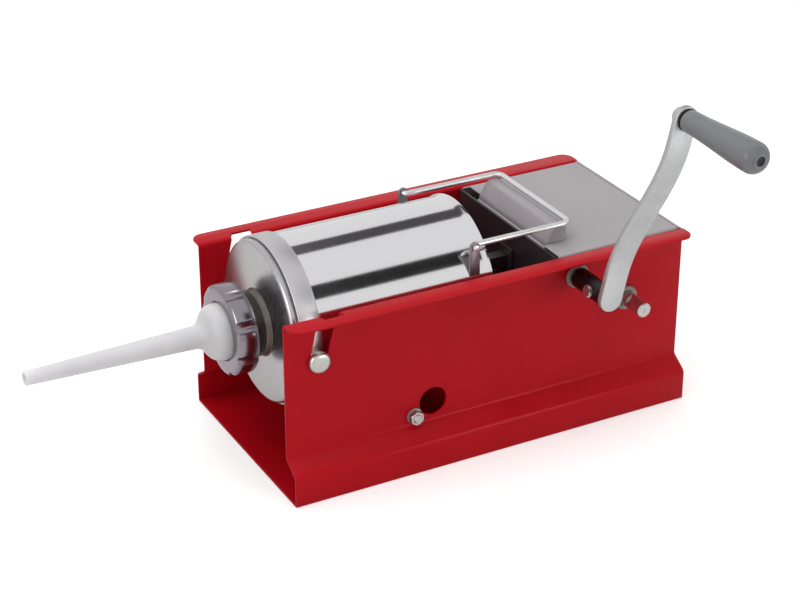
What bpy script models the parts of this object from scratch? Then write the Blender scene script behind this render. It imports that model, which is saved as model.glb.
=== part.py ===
"""Horizontal hand-cranked sausage stuffer, about 3 litres, built piece by piece.

The frame is folded sheet steel. A polished cylinder hangs in it on two trunnions and rests on a
cross rod. A crank turns a small gear, the small gear turns a large one, and a pinion beside the
large gear drives a toothed rack that pushes the plunger forward through the cylinder.

Units are metres. The origin is the centre of the underside. +X points to the rear, -Y to the side
of the crank, +Z up. Every distance named ..._X is measured from the front edge of the frame.
"""
import math

import bmesh
import bpy
from mathutils import Matrix, Vector

# Clearances
FIT = 0.0003                # between pieces that touch
RUN = 0.0001                # radial, shaft in bush
SLIDE = 0.0005              # around the rack in its guides

# Frame of folded sheet. Its width follows from the cylinder, its length and height from the drive
SIDE_GAP = 0.0125           # from the cylinder to each side panel
SKIRT_REACH = 0.017         # skirt beyond its panel
SKIRT_HEIGHT = 0.0285
BAND_TOP = 0.0395           # where the sloping band meets the panel
FLANGE_WIDTH = 0.0197
FLANGE_CORNER = 0.011
SHEET = 0.002
FOLD_RADIUS = 0.0026
HAND_HOLE_BEHIND_ROD = 0.0191
HAND_HOLE_ABOVE_ROD = 0.0098
HAND_HOLE_RADIUS = 0.0136

# Cylinder
UNDER_GAP = 0.014           # from the top of the band to the cylinder: room for the cross rod
TUBE_RADIUS = 0.0745
TUBE_WALL = 0.0012
TUBE_LENGTH = 0.191
COLLAR_LENGTH = 0.0195
COLLAR_WALL = 0.0016
CAP_X = 0.0174
CAP_INSET = 0.0004          # cap's rim inside the tube's outside
CAP_THICKNESS = 0.0045
CAP_ROUNDING = 0.0036
CAP_PLUG = 0.004            # how far the cap's spigot enters the tube
GASKET_THICKNESS = 0.0012
SPOUT_RADIUS = 0.0295
SPOUT_BORE = 0.024

# Trunnions and their slots
TRUNNION_INSET = 0.0081     # from the tube's front end
SLOT_RADIUS = 0.008
SLOT_FRONT_LEAN = math.radians(13.0)
SLOT_REAR_LEAN = math.radians(16.0)
NOTCH_DEPTH = 0.012
TRUNNION_HEAD_RADIUS = 0.0099
TRUNNION_HEAD = 0.006

# Cross rod under the cylinder
CRADLE_X = 0.1245
CRADLE_RADIUS = 0.004
WASHER_THICKNESS = 0.0015
CRADLE_WASHER_RADIUS = 0.0082
CRADLE_NUT_FLATS = 0.013
CRADLE_NUT_HEIGHT = 0.0065
CRADLE_ROD_PROUD = 0.0015   # rod end beyond its nut

# Ring nut and nozzle
NUT_LOBES = 8
NUT_RADIUS = 0.041
NUT_SCALLOP = 0.005         # depth between two lobes
NUT_SCALLOP_SHAPE = 0.36    # the smaller, the narrower the scallops
NUT_TURNED = math.radians(-4.0)
NUT_THICKNESS = 0.020
NUT_LIP = 0.0031
NUT_OPENING = 0.0263
NUT_STAND_OFF = 0.0164      # gap between nut and cap
NOZZLE_FLANGE = 0.0028
NOZZLE_WALL = 0.0015
NOZZLE_MOUTH_RADIUS = 0.0255
NOZZLE_SHOULDER_RADIUS = 0.0204
NOZZLE_NECK_RADIUS = 0.0104
NOZZLE_TIP_RADIUS = 0.0063
NOZZLE_MOUTH_REACH = 0.004  # each reach is from the nut's face
NOZZLE_SHOULDER_REACH = 0.014
NOZZLE_NECK_REACH = 0.023
NOZZLE_REACH = 0.1785

# Gears and rack
GEAR_MODULE = 0.002
PRESSURE_ANGLE = math.radians(25.0)
ADDENDUM = 0.8              # in modules
DEDENDUM = 1.08             # in modules
TOOTH_BACKLASH = 0.0002
SLOW_TEETH = 14
FAST_TEETH = 50
RACK_PINION_TEETH = 12
GEAR_LINE_ANGLE = math.radians(147.2)   # from the large gear's centre to the small one's
GEAR_SIDE_GAP = 0.013       # from the near panel to the middle of the gear pair
PINION_GAP = 0.0021         # small gear to bulkhead
GEAR_REAR_GAP = 0.0051      # large gear to rear panel
GEAR_TOP_GAP = 0.0029       # large gear to cover
FAST_GEAR_WIDTH = 0.010
SLOW_PINION_WIDTH = 0.012
RACK_PINION_WIDTH = 0.018
RACK_WIDTH = 0.012
RACK_BODY = 0.010           # above the tooth roots
RACK_DROP = 0.002           # rack's pitch line below the cylinder's axis
RACK_TAIL = 0.0185          # behind the pinion's centre when the plunger is forward

# Shafts, bushes and rings
SHAFT_RADIUS = 0.007
BUSH_WALL = 0.003
BUSH_FLANGE_RADIUS = 0.0115
BUSH_FLANGE = 0.003
BUSH_INSIDE = 0.005
STUB_REACH = 0.032          # fast shaft beyond the near panel
FLAT_DEPTH = 0.0016
FLAT_LENGTH = 0.010
FLAT_FROM_END = 0.010
RING_WIDTH = 0.0014
RING_GROOVE = 0.0008
RING_PROUD = 0.003
SPACER_WALL = 0.002
STOP_COLLAR_WIDTH = 0.008
STOP_COLLAR_WALL = 0.004

# Plunger
PLUNGER_CLEARANCE = 0.0011  # radial, in the tube
PLUNGER_THICKNESS = 0.024
PLUNGER_GAP = 0.002         # plunger face to cap when forward
PARK_GAP = 0.005            # plunger face to tube when drawn right back
PLUNGER_BOSS = 0.010
PLUNGER_BOSS_RADIUS = 0.017
PLUNGER_DISH = 0.004
SEAL_SECTION = 0.0052
SEAL_DEPTH = 0.004
SOCKET_DEPTH = 0.016        # rack end inside the plunger
SCREW_RADIUS = 0.003
SCREW_HEAD_RADIUS = 0.006
SCREW_LENGTH = 0.022

# Cover, bulkhead and rear panel
COVER_SHEET = 0.0015
COVER_SETBACK = 0.009       # cover's front edge behind the bulkhead
COVER_LIP = 0.011           # depth of the cover's side folds
COVER_FLAP = 0.020          # depth of its rear fold
BULKHEAD_GAP = 0.0163       # plunger's boss to bulkhead when drawn right back
BULKHEAD_DROP = 0.0025      # bulkhead's edge below the frame's
GUIDE_FLANGE = 0.004
GUIDE_BORDER = 0.007
GUIDE_FLANGE_THICKNESS = 0.0025
GUIDE_DEPTH = 0.009

# Bail: bent rod with its folded bracket
BAIL_ROD_RADIUS = 0.0027
BAIL_INSET = 0.0125         # arms inside the tube's outside
BAIL_RISE = 0.018           # rod above the frame's top edge
BAIL_PIVOT_INSET = 0.0177   # pivot in front of the tube's rear end
CROSSBAR_SETBACK = 0.028    # crossbar behind the bulkhead
BAIL_BEND = 0.008
EAR_THICKNESS = 0.0025
EAR_WIDTH = 0.0115
BRACKET_SETBACK = 0.0052    # front plate behind the bulkhead
BRACKET_SHEET = 0.0015
BRACKET_INSET = 0.002       # bracket's sides inside the arms
BRACKET_DROP = 0.0065       # front plate below the cover's face
BRACKET_DEPTH = 0.0195

# Crank
CRANK_RADIUS = 0.180
CRANK_LEAN = math.radians(13.0)
CRANK_WIDTH = 0.0222
CRANK_THICKNESS = 0.006
CRANK_STANDOFF = 0.054      # arm's foot from the near panel
CRANK_JOGGLE = 0.037
JOGGLE_INSET = 0.022        # straight stretch at each end of the arm
HUB_RADIUS = 0.0108
HUB_LENGTH = 0.0447
SET_SCREW_RADIUS = 0.003
SET_SCREW_HEAD = 0.0036
SET_SCREW_FLATS = 0.010
GRIP_LENGTH = 0.098
GRIP_INNER_RADIUS = 0.0100
GRIP_OUTER_RADIUS = 0.0138
GRIP_RECESS = 0.006
GRIP_RECESS_RADIUS = 0.0068
AXLE_RADIUS = 0.004
AXLE_HEAD_RADIUS = 0.006
AXLE_HEAD = 0.004
GRIP_NUT_FLATS = 0.013
GRIP_NUT_HEIGHT = 0.0065

ROUND = 40                  # sides of a large round piece
NOZZLE_ROUND = 28
SMALL_ROUND = 20            # shafts and what they run in
BOLT_ROUND = 16
MERGE = 0.00001

# Across the machine
PANEL_IN = TUBE_RADIUS + SIDE_GAP
PANEL_OUT = PANEL_IN + SHEET
SKIRT_OUT = PANEL_OUT + SKIRT_REACH
TUBE_BORE = TUBE_RADIUS - TUBE_WALL
CAP_RADIUS = TUBE_RADIUS - CAP_INSET
PLUNGER_RADIUS = TUBE_BORE - PLUNGER_CLEARANCE
BAIL_ARM_Y = TUBE_RADIUS - BAIL_INSET
BRACKET_HALF_WIDTH = BAIL_ARM_Y - BRACKET_INSET
GEAR_Y = GEAR_SIDE_GAP - PANEL_IN
CRANK_Y = -(PANEL_OUT + CRANK_STANDOFF)
CRANK_TOP_Y = CRANK_Y - CRANK_JOGGLE
GRIP_START_Y = CRANK_TOP_Y - CRANK_THICKNESS / 2 - FIT - WASHER_THICKNESS - FIT
GRIP_END_Y = GRIP_START_Y - GRIP_LENGTH

# Along the machine, from the frame's front edge
GASKET_X = CAP_X + CAP_THICKNESS + FIT
TUBE_X = GASKET_X + GASKET_THICKNESS + FIT
TUBE_END_X = TUBE_X + TUBE_LENGTH
CAP_BACK_X = TUBE_X + CAP_PLUG
TRUNNION_X = TUBE_X + TRUNNION_INSET
HAND_HOLE_X = CRADLE_X + HAND_HOLE_BEHIND_ROD
NUT_BACK_X = CAP_X - NUT_STAND_OFF
NUT_FACE_X = NUT_BACK_X - NUT_THICKNESS
SPOUT_END_X = NUT_FACE_X + NUT_LIP + FIT + NOZZLE_FLANGE + FIT
PLUNGER_X = CAP_BACK_X + PLUNGER_GAP
BULKHEAD_X = TUBE_END_X + PARK_GAP + PLUNGER_THICKNESS + PLUNGER_BOSS + BULKHEAD_GAP
RACK_STROKE = TUBE_END_X + PARK_GAP - PLUNGER_X
BAIL_PIVOT_X = TUBE_END_X - BAIL_PIVOT_INSET
BAIL_CROSSBAR_X = BULKHEAD_X + CROSSBAR_SETBACK
BRACKET_X = BULKHEAD_X + BRACKET_SETBACK
COVER_X = BULKHEAD_X + COVER_SETBACK
CENTRE_DISTANCE = GEAR_MODULE * (SLOW_TEETH + FAST_TEETH) / 2
SMALL_TIP_RADIUS = GEAR_MODULE * (SLOW_TEETH / 2 + ADDENDUM)
LARGE_TIP_RADIUS = GEAR_MODULE * (FAST_TEETH / 2 + ADDENDUM)
SLOW_SHAFT_X = BULKHEAD_X + SHEET + PINION_GAP + SMALL_TIP_RADIUS
FAST_SHAFT_X = SLOW_SHAFT_X - CENTRE_DISTANCE * math.cos(GEAR_LINE_ANGLE)
REAR_PANEL_X = FAST_SHAFT_X + LARGE_TIP_RADIUS + GEAR_REAR_GAP
BODY_LENGTH = REAR_PANEL_X + SHEET + FIT + COVER_SHEET
FRONT = -BODY_LENGTH / 2
RACK_FRONT_X = PLUNGER_X + PLUNGER_THICKNESS + PLUNGER_BOSS - SOCKET_DEPTH
RACK_REAR_X = FAST_SHAFT_X + RACK_TAIL
GRIP_X = SLOW_SHAFT_X + CRANK_RADIUS * math.sin(CRANK_LEAN)

# Upwards
AXIS_Z = BAND_TOP + UNDER_GAP + TUBE_RADIUS
CRADLE_Z = AXIS_Z - TUBE_RADIUS - FIT - CRADLE_RADIUS
HAND_HOLE_Z = CRADLE_Z + HAND_HOLE_ABOVE_ROD
RACK_PITCH_Z = AXIS_Z - RACK_DROP
FAST_SHAFT_Z = RACK_PITCH_Z - GEAR_MODULE * RACK_PINION_TEETH / 2
SLOW_SHAFT_Z = FAST_SHAFT_Z + CENTRE_DISTANCE * math.sin(GEAR_LINE_ANGLE)
COVER_UNDER_Z = FAST_SHAFT_Z + LARGE_TIP_RADIUS + GEAR_TOP_GAP
BODY_HEIGHT = COVER_UNDER_Z + COVER_SHEET
BULKHEAD_TOP = BODY_HEIGHT - BULKHEAD_DROP
BAIL_Z = BODY_HEIGHT + BAIL_RISE
BRACKET_TOP_Z = BAIL_Z - BAIL_ROD_RADIUS - FIT
GRIP_Z = SLOW_SHAFT_Z + CRANK_RADIUS * math.cos(CRANK_LEAN)
RACK_TIP_Z = RACK_PITCH_Z - ADDENDUM * GEAR_MODULE
RACK_ROOT_Z = RACK_PITCH_Z + DEDENDUM * GEAR_MODULE
RACK_TOP_Z = RACK_ROOT_Z + RACK_BODY
RACK_MIDDLE_Z = (RACK_TIP_Z + RACK_TOP_Z) / 2


def clear_scene():
    """Start from an empty scene."""
    for old in list(bpy.data.objects):
        bpy.data.objects.remove(old, do_unlink=True)


clear_scene()
PARTS = bpy.data.collections.new("sausage_stuffer")
CUTTERS = bpy.data.collections.new("cutters")
bpy.context.scene.collection.children.link(PARTS)
bpy.context.scene.collection.children.link(CUTTERS)


def material(name, colour, roughness, metallic):
    """A plain Principled material for one kind of surface."""
    finish = bpy.data.materials.new(name)
    finish.use_nodes = True
    shader = finish.node_tree.nodes["Principled BSDF"]
    shader.inputs["Base Color"].default_value = (*colour, 1.0)
    shader.inputs["Roughness"].default_value = roughness
    shader.inputs["Metallic"].default_value = metallic
    finish.diffuse_color = (*colour, 1.0)
    return finish


RED_PAINT = material("red_paint", (0.40, 0.012, 0.020), 0.32, 0.0)
GREY_PAINT = material("grey_paint", (0.36, 0.345, 0.355), 0.45, 0.0)
BLACK_PAINT = material("black_paint", (0.02, 0.018, 0.02), 0.5, 0.0)
POLISHED_STEEL = material("polished_steel", (0.72, 0.72, 0.73), 0.14, 1.0)
SATIN_STEEL = material("satin_steel", (0.58, 0.57, 0.57), 0.36, 1.0)
ZINC_STEEL = material("zinc_steel", (0.62, 0.62, 0.60), 0.40, 1.0)
DARK_STEEL = material("dark_steel", (0.12, 0.11, 0.11), 0.45, 1.0)
CAST_ALUMINIUM = material("cast_aluminium", (0.60, 0.59, 0.60), 0.38, 1.0)
WHITE_PLASTIC = material("white_plastic", (0.80, 0.78, 0.80), 0.4, 0.0)
GREY_PLASTIC = material("grey_plastic", (0.19, 0.19, 0.21), 0.5, 0.0)
BLACK_PLASTIC = material("black_plastic", (0.025, 0.02, 0.02), 0.45, 0.0)
NYLON = material("nylon", (0.70, 0.64, 0.52), 0.5, 0.0)
RUBBER = material("rubber", (0.02, 0.02, 0.02), 0.7, 0.0)


def at_x(distance):
    """World X of a distance from the front edge of the frame."""
    return FRONT + distance


def link(name, mesh, finish, place=(0, 0, 0), collection=None):
    """Put a mesh in the scene as one named piece."""
    piece = bpy.data.objects.new(name, mesh)
    piece.location = place
    (collection or PARTS).objects.link(piece)
    if finish is not None:
        mesh.materials.append(finish)
    if collection is CUTTERS:
        piece.hide_render = True
        piece.display_type = "WIRE"
    return piece


def mesh_from(name, shape):
    """Turn a bmesh into a mesh with outward normals."""
    bmesh.ops.recalc_face_normals(shape, faces=shape.faces)
    mesh = bpy.data.meshes.new(name)
    shape.to_mesh(mesh)
    shape.free()
    return mesh


def box(name, low, high, finish, collection=None):
    """A rectangular block between two corners."""
    low, high = Vector(low), Vector(high)
    shape = bmesh.new()
    bmesh.ops.create_cube(shape, size=1.0)
    bmesh.ops.scale(shape, vec=high - low, verts=shape.verts)
    return link(name, mesh_from(name, shape), finish, (low + high) / 2, collection)


TURN = {"X": Matrix.Rotation(math.radians(90), 4, "Y"), "Y": Matrix.Rotation(math.radians(-90), 4, "X"),
        "Z": Matrix.Identity(4)}


def turned(name, profile, axis, place, finish, sides=ROUND, collection=None):
    """A turned piece. The profile is (distance along the axis, radius), closed if it has a bore."""
    solid = profile[0][1] < MERGE
    area = sum(a[0] * b[1] - b[0] * a[1] for a, b in zip(profile, profile[1:] + profile[:1]))
    points = profile if area < 0 else profile[::-1]
    mesh = bpy.data.meshes.new(name)
    edges = [(i, i + 1) for i in range(len(points) - 1)]
    if not solid:
        edges.append((len(points) - 1, 0))
    mesh.from_pydata([(radius, 0, along) for along, radius in points], edges, [])
    piece = link(name, mesh, finish, place, collection)
    screw = piece.modifiers.new("turn", "SCREW")
    screw.steps = sides
    screw.render_steps = sides
    screw.use_merge_vertices = True
    screw.merge_threshold = MERGE
    screw.use_normal_calculate = True
    mesh_now = evaluated_mesh(piece)
    mesh_now.transform(TURN[axis])
    smooth(mesh_now)
    piece.modifiers.clear()
    piece.data = mesh_now
    return piece


def evaluated_mesh(piece):
    """The piece's mesh as its modifiers leave it, welded and facing outwards."""
    graph = bpy.context.evaluated_depsgraph_get()
    mesh = bpy.data.meshes.new_from_object(piece.evaluated_get(graph))
    shape = bmesh.new()
    shape.from_mesh(mesh)
    bmesh.ops.remove_doubles(shape, verts=shape.verts, dist=MERGE)
    bmesh.ops.recalc_face_normals(shape, faces=shape.faces)
    shape.to_mesh(mesh)
    shape.free()
    mesh.name = piece.name
    return mesh


def smooth(mesh):
    """Smooth shading with the sharp edges kept."""
    mesh.shade_smooth()
    mesh.set_sharp_from_angle(angle=math.radians(40))


def extruded_face(name, outline, thickness):
    """A plate without holes, as one face drawn out to its thickness."""
    shape = bmesh.new()
    face = shape.faces.new([shape.verts.new((u, v, -thickness / 2)) for u, v in outline])
    grown = bmesh.ops.extrude_face_region(shape, geom=[face])["geom"]
    moved = [item for item in grown if isinstance(item, bmesh.types.BMVert)]
    bmesh.ops.translate(shape, verts=moved, vec=(0, 0, thickness))
    return mesh_from(name, shape)


def extruded_curve(name, outlines, thickness):
    """A plate with holes, as a filled curve."""
    curve = bpy.data.curves.new(name, "CURVE")
    curve.dimensions = "2D"
    curve.fill_mode = "BOTH"
    curve.extrude = thickness / 2
    for outline in outlines:
        spline = curve.splines.new("POLY")
        spline.points.add(len(outline) - 1)
        for point, (u, v) in zip(spline.points, outline):
            point.co = (u, v, 0, 1)
        spline.use_cyclic_u = True
    drawn = bpy.data.objects.new(name, curve)
    CUTTERS.objects.link(drawn)
    bpy.context.view_layer.update()
    mesh = evaluated_mesh(drawn)
    bpy.data.objects.remove(drawn)
    mesh.materials.clear()
    return mesh


def flat(name, outlines, thickness, normal, place, finish, collection=None):
    """A plate cut to outlines, the first its edge and the others its holes.

    Normal Y: outlines are (x, z). Normal X: (y, z). Normal Z: (x, y). The plate is centred on place.
    """
    if len(outlines) == 1:
        mesh = extruded_face(name, outlines[0], thickness)
    else:
        mesh = extruded_curve(name, outlines, thickness)
    lay = {"X": Matrix(((0, 0, 1, 0), (1, 0, 0, 0), (0, 1, 0, 0), (0, 0, 0, 1))),
           "Y": Matrix.Rotation(math.radians(90), 4, "X"), "Z": Matrix.Identity(4)}[normal]
    mesh.transform(lay)
    return link(name, mesh, finish, place, collection)


def arc(centre, radius, start, end, steps):
    """Points on an arc, angles in radians."""
    return [(centre[0] + radius * math.cos(start + (end - start) * i / steps),
             centre[1] + radius * math.sin(start + (end - start) * i / steps)) for i in range(steps + 1)]


def circle(centre, radius, sides=SMALL_ROUND):
    """Points of a whole circle."""
    return arc(centre, radius, 0, math.tau * (sides - 1) / sides, sides - 1)


def rectangle(low, high):
    """Corners of a rectangle."""
    return [(low[0], low[1]), (high[0], low[1]), (high[0], high[1]), (low[0], high[1])]


def hexagon(centre, flats):
    """Corners of a hexagon across its flats."""
    return arc(centre, flats / math.sqrt(3), math.radians(30), math.radians(330), 5)


def rounded_path(points, radius, steps=3):
    """A path whose inner corners are replaced by arcs."""
    path = [Vector(points[0])]
    for before, corner, after in zip(points, points[1:], points[2:]):
        corner = Vector(corner)
        to_before = (Vector(before) - corner).normalized()
        to_after = (Vector(after) - corner).normalized()
        half = to_before.angle(to_after) / 2
        start = corner + to_before * radius / math.tan(half)
        end = corner + to_after * radius / math.tan(half)
        centre = corner + (to_before + to_after).normalized() * radius / math.sin(half)
        for i in range(steps + 1):
            spoke = (start - centre).lerp(end - centre, i / steps)
            path.append(centre + spoke.normalized() * radius)
    path.append(Vector(points[-1]))
    return path


def folded(name, path, start, end, thickness, axis, finish):
    """Sheet folded along a path and run from start to end along X or Y."""
    mesh = bpy.data.meshes.new(name)
    along = (lambda p, s: (s, p[0], p[1])) if axis == "X" else (lambda p, s: (p[0], s, p[1]))
    mesh.from_pydata([along(p, start) for p in path], [(i, i + 1) for i in range(len(path) - 1)], [])
    shape = bmesh.new()
    shape.from_mesh(mesh)
    grown = bmesh.ops.extrude_edge_only(shape, edges=shape.edges[:])["geom"]
    moved = [item for item in grown if isinstance(item, bmesh.types.BMVert)]
    shift = (end - start, 0, 0) if axis == "X" else (0, end - start, 0)
    bmesh.ops.translate(shape, verts=moved, vec=shift)
    bmesh.ops.recalc_face_normals(shape, faces=shape.faces)
    shape.to_mesh(mesh)
    shape.free()
    sheet = link(name, mesh, finish)
    solid = sheet.modifiers.new("sheet", "SOLIDIFY")
    solid.thickness = thickness
    solid.offset = 0
    solid.use_even_offset = True
    return sheet


def cut(piece, *cutters):
    """Take each cutter out of a piece."""
    for cutter in cutters:
        step = piece.modifiers.new(cutter.name, "BOOLEAN")
        step.operation = "DIFFERENCE"
        step.solver = "EXACT"
        step.object = cutter


def apply(piece):
    """Keep a piece as its modifiers leave it."""
    bpy.context.view_layer.update()
    mesh = evaluated_mesh(piece)
    piece.modifiers.clear()
    piece.data = mesh
    return piece


def round_cutter(name, centre, radius, low, high, axis, sides=SMALL_ROUND):
    """A round cutter between two places on its axis. Centre is (x, z) for axis Y, (y, z) for axis X."""
    profile = [(low, 0), (low, radius), (high, radius), (high, 0)]
    place = (centre[0], 0, centre[1]) if axis == "Y" else (0, centre[0], centre[1])
    return turned(name, profile, axis, place, None, sides, CUTTERS)


# Frame

def side_panel(name, side):
    """One folded side: skirt, sloping band, panel and outward flange, with its slot and holes."""
    half = SHEET / 2
    corners = [(side * (SKIRT_OUT - half), 0), (side * (SKIRT_OUT - half), SKIRT_HEIGHT),
               (side * (PANEL_OUT - half), BAND_TOP), (side * (PANEL_OUT - half), BODY_HEIGHT - half),
               (side * (PANEL_OUT + FLANGE_WIDTH), BODY_HEIGHT - half)]
    panel = folded(name, rounded_path(corners, FOLD_RADIUS), FRONT, -FRONT, SHEET, "X", RED_PAINT)
    low = PANEL_IN - SHEET
    high = PANEL_OUT + SHEET
    if side < 0:
        low, high = -high, -low
    bore = SHAFT_RADIUS + RUN + BUSH_WALL + FIT
    cut(panel,
        round_cutter(name + "_hand_hole", (at_x(HAND_HOLE_X), HAND_HOLE_Z), HAND_HOLE_RADIUS, low, high, "Y"),
        round_cutter(name + "_rod_hole", (at_x(CRADLE_X), CRADLE_Z), CRADLE_RADIUS + FIT, low, high, "Y"),
        round_cutter(name + "_slow_hole", (at_x(SLOW_SHAFT_X), SLOW_SHAFT_Z), bore, low, high, "Y"),
        round_cutter(name + "_fast_hole", (at_x(FAST_SHAFT_X), FAST_SHAFT_Z), bore, low, high, "Y"),
        slot_cutter(name + "_slot", low, high),
        notch_cutter(name + "_notch", side),
        corner_cutter(name + "_front_corner", side, -1),
        corner_cutter(name + "_rear_corner", side, 1))
    return panel


def slot_edges(height):
    """Front and rear edge of the trunnion slot at a height above the trunnion's centre."""
    front = -SLOT_RADIUS / math.cos(SLOT_FRONT_LEAN) + height * math.tan(SLOT_FRONT_LEAN)
    rear = SLOT_RADIUS / math.cos(SLOT_REAR_LEAN) + height * math.tan(SLOT_REAR_LEAN)
    return at_x(TRUNNION_X) + front, at_x(TRUNNION_X) + rear


def slot_cutter(name, low, high):
    """The leaning slot that a trunnion drops into."""
    above = BODY_HEIGHT - AXIS_Z + SHEET
    front, rear = slot_edges(above)
    outline = arc((at_x(TRUNNION_X), AXIS_Z), SLOT_RADIUS, math.pi - SLOT_FRONT_LEAN,
                  math.tau - SLOT_REAR_LEAN, 12)
    outline += [(rear, AXIS_Z + above), (front, AXIS_Z + above)]
    return flat(name, [outline], high - low, "Y", (0, (low + high) / 2, 0), None, CUTTERS)


def notch_cutter(name, side):
    """The slot carried on into the flange, where the trunnion goes in."""
    height = BODY_HEIGHT - AXIS_Z
    front, rear = slot_edges(height)
    far_front, far_rear = slot_edges(height + NOTCH_DEPTH)
    inner = side * (PANEL_IN - SHEET)
    outer = side * (PANEL_OUT + NOTCH_DEPTH)
    outline = [(front, inner), (rear, inner), (far_rear, outer), (far_front, outer)]
    depth = 2 * (SHEET + FOLD_RADIUS)
    return flat(name, [outline], depth, "Z", (0, 0, BODY_HEIGHT), None, CUTTERS)


def corner_cutter(name, side, end):
    """Rounds one outer corner of a flange in plan."""
    outer = side * (PANEL_OUT + FLANGE_WIDTH)
    corner = (end * BODY_LENGTH / 2, outer)
    centre = (corner[0] - end * FLANGE_CORNER, corner[1] - side * FLANGE_CORNER)
    turn_start = math.atan2(0, end)
    turn_end = math.atan2(side, 0)
    if turn_end - turn_start > math.pi:
        turn_start += math.tau
    if turn_start - turn_end > math.pi:
        turn_end += math.tau
    outline = arc(centre, FLANGE_CORNER, turn_start, turn_end, 8)
    out = (end * SHEET, side * SHEET)
    outline += [(centre[0], corner[1] + out[1]), (corner[0] + out[0], corner[1] + out[1]),
                (corner[0] + out[0], centre[1])]
    return flat(name, [outline], 4 * SHEET, "Z", (0, 0, BODY_HEIGHT), None, CUTTERS)


def base_plate():
    """The floor, set between the skirts."""
    half_width = SKIRT_OUT - SHEET - FIT
    return box("base_plate", (FRONT, -half_width, 0), (-FRONT, half_width, SHEET), RED_PAINT)


def rack_window(grow):
    """Outline of the rack's section, grown on every side, as (y, z)."""
    half = RACK_WIDTH / 2 + grow
    return rectangle((-half, RACK_TIP_Z - grow), (half, RACK_TOP_Z + grow))


def wall_outline(top):
    """Outline of a cross wall between the panels, as (y, z)."""
    half_low = SKIRT_OUT - SHEET - FIT - FOLD_RADIUS
    half_high = PANEL_IN - FIT
    bottom = SHEET + FIT
    lift = SHEET
    right = [(half_low, bottom), (half_low, SKIRT_HEIGHT - lift), (half_high, BAND_TOP - lift),
             (half_high, top)]
    left = [(-y, z) for y, z in reversed(right)]
    return right + left


def rear_panel():
    """The wall that closes the frame behind, with a window for the rack."""
    top = COVER_UNDER_Z - FIT
    window = rack_window(SLIDE + GUIDE_FLANGE + FIT)
    place = (at_x(REAR_PANEL_X) + SHEET / 2, 0, 0)
    return flat("rear_panel", [wall_outline(top), window], SHEET, "X", place, RED_PAINT)


def bulkhead():
    """The black wall in front of the gears, with a window for the rack."""
    window = rack_window(SLIDE + GUIDE_FLANGE + FIT)
    place = (at_x(BULKHEAD_X) + SHEET / 2, 0, 0)
    return flat("gear_bulkhead", [wall_outline(BULKHEAD_TOP), window], SHEET, "X", place, BLACK_PAINT)


def rack_guide(name, wall_x):
    """A nylon guide that lines a window: a flange in front of the wall and a sleeve through it."""
    flange_x = at_x(wall_x) - FIT - GUIDE_FLANGE_THICKNESS / 2
    flange = flat(name, [rack_window(SLIDE + GUIDE_BORDER), rack_window(SLIDE)], GUIDE_FLANGE_THICKNESS, "X",
                  (flange_x, 0, 0), NYLON)
    sleeve_start = at_x(wall_x) - FIT - GUIDE_FLANGE_THICKNESS / 2
    sleeve_end = at_x(wall_x) + SHEET + GUIDE_DEPTH / 2
    sleeve = flat(name + "_sleeve", [rack_window(SLIDE + GUIDE_FLANGE), rack_window(SLIDE)],
                  sleeve_end - sleeve_start, "X", ((sleeve_start + sleeve_end) / 2, 0, 0), NYLON, CUTTERS)
    join = flange.modifiers.new("sleeve", "BOOLEAN")
    join.operation = "UNION"
    join.solver = "EXACT"
    join.object = sleeve
    return apply(flange)


def top_cover():
    """The grey cover over the gears: flat top, side folds inside the panels."""
    half = PANEL_IN - FIT
    sheet = COVER_SHEET / 2
    corners = [(-half + sheet, BODY_HEIGHT - COVER_LIP), (-half + sheet, BODY_HEIGHT - sheet),
               (half - sheet, BODY_HEIGHT - sheet), (half - sheet, BODY_HEIGHT - COVER_LIP)]
    path = rounded_path(corners, FOLD_RADIUS)
    return folded("top_cover", path, at_x(COVER_X), at_x(REAR_PANEL_X) - FIT, COVER_SHEET, "X", GREY_PAINT)


def rear_flap():
    """The angle at the rear edge that carries the cover's surface over the rear panel."""
    half = PANEL_IN - FIT
    sheet = COVER_SHEET / 2
    rear = -FRONT - sheet
    corners = [(at_x(REAR_PANEL_X), BODY_HEIGHT - sheet), (rear, BODY_HEIGHT - sheet),
               (rear, BODY_HEIGHT - COVER_FLAP)]
    path = [corners[0], *rounded_path(corners, FOLD_RADIUS / 2)[1:]]
    return folded("cover_rear_angle", path, -half, half, COVER_SHEET, "Y", GREY_PAINT)


def build_frame():
    """All of the sheet metal and the rack's guides."""
    base_plate()
    side_panel("near_side_panel", -1)
    side_panel("far_side_panel", 1)
    rear_panel()
    bulkhead()
    rack_guide("front_rack_guide", BULKHEAD_X)
    rack_guide("rear_rack_guide", REAR_PANEL_X)
    top_cover()
    rear_flap()


# Cylinder

def tube():
    """The open cylinder."""
    profile = [(0, TUBE_BORE), (0, TUBE_RADIUS), (TUBE_LENGTH, TUBE_RADIUS), (TUBE_LENGTH, TUBE_BORE)]
    return turned("cylinder_tube", profile, "X", (at_x(TUBE_X), 0, AXIS_Z), POLISHED_STEEL)


def collar():
    """The band round the front of the tube that the trunnions are welded to."""
    inner = TUBE_RADIUS + FIT
    outer = inner + COLLAR_WALL
    edge = COLLAR_WALL / 2
    profile = [(0, inner), (0, outer - edge), (edge, outer), (COLLAR_LENGTH - edge, outer),
               (COLLAR_LENGTH, outer - edge), (COLLAR_LENGTH, inner)]
    return turned("cylinder_collar", profile, "X", (at_x(TUBE_X), 0, AXIS_Z), SATIN_STEEL)


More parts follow.
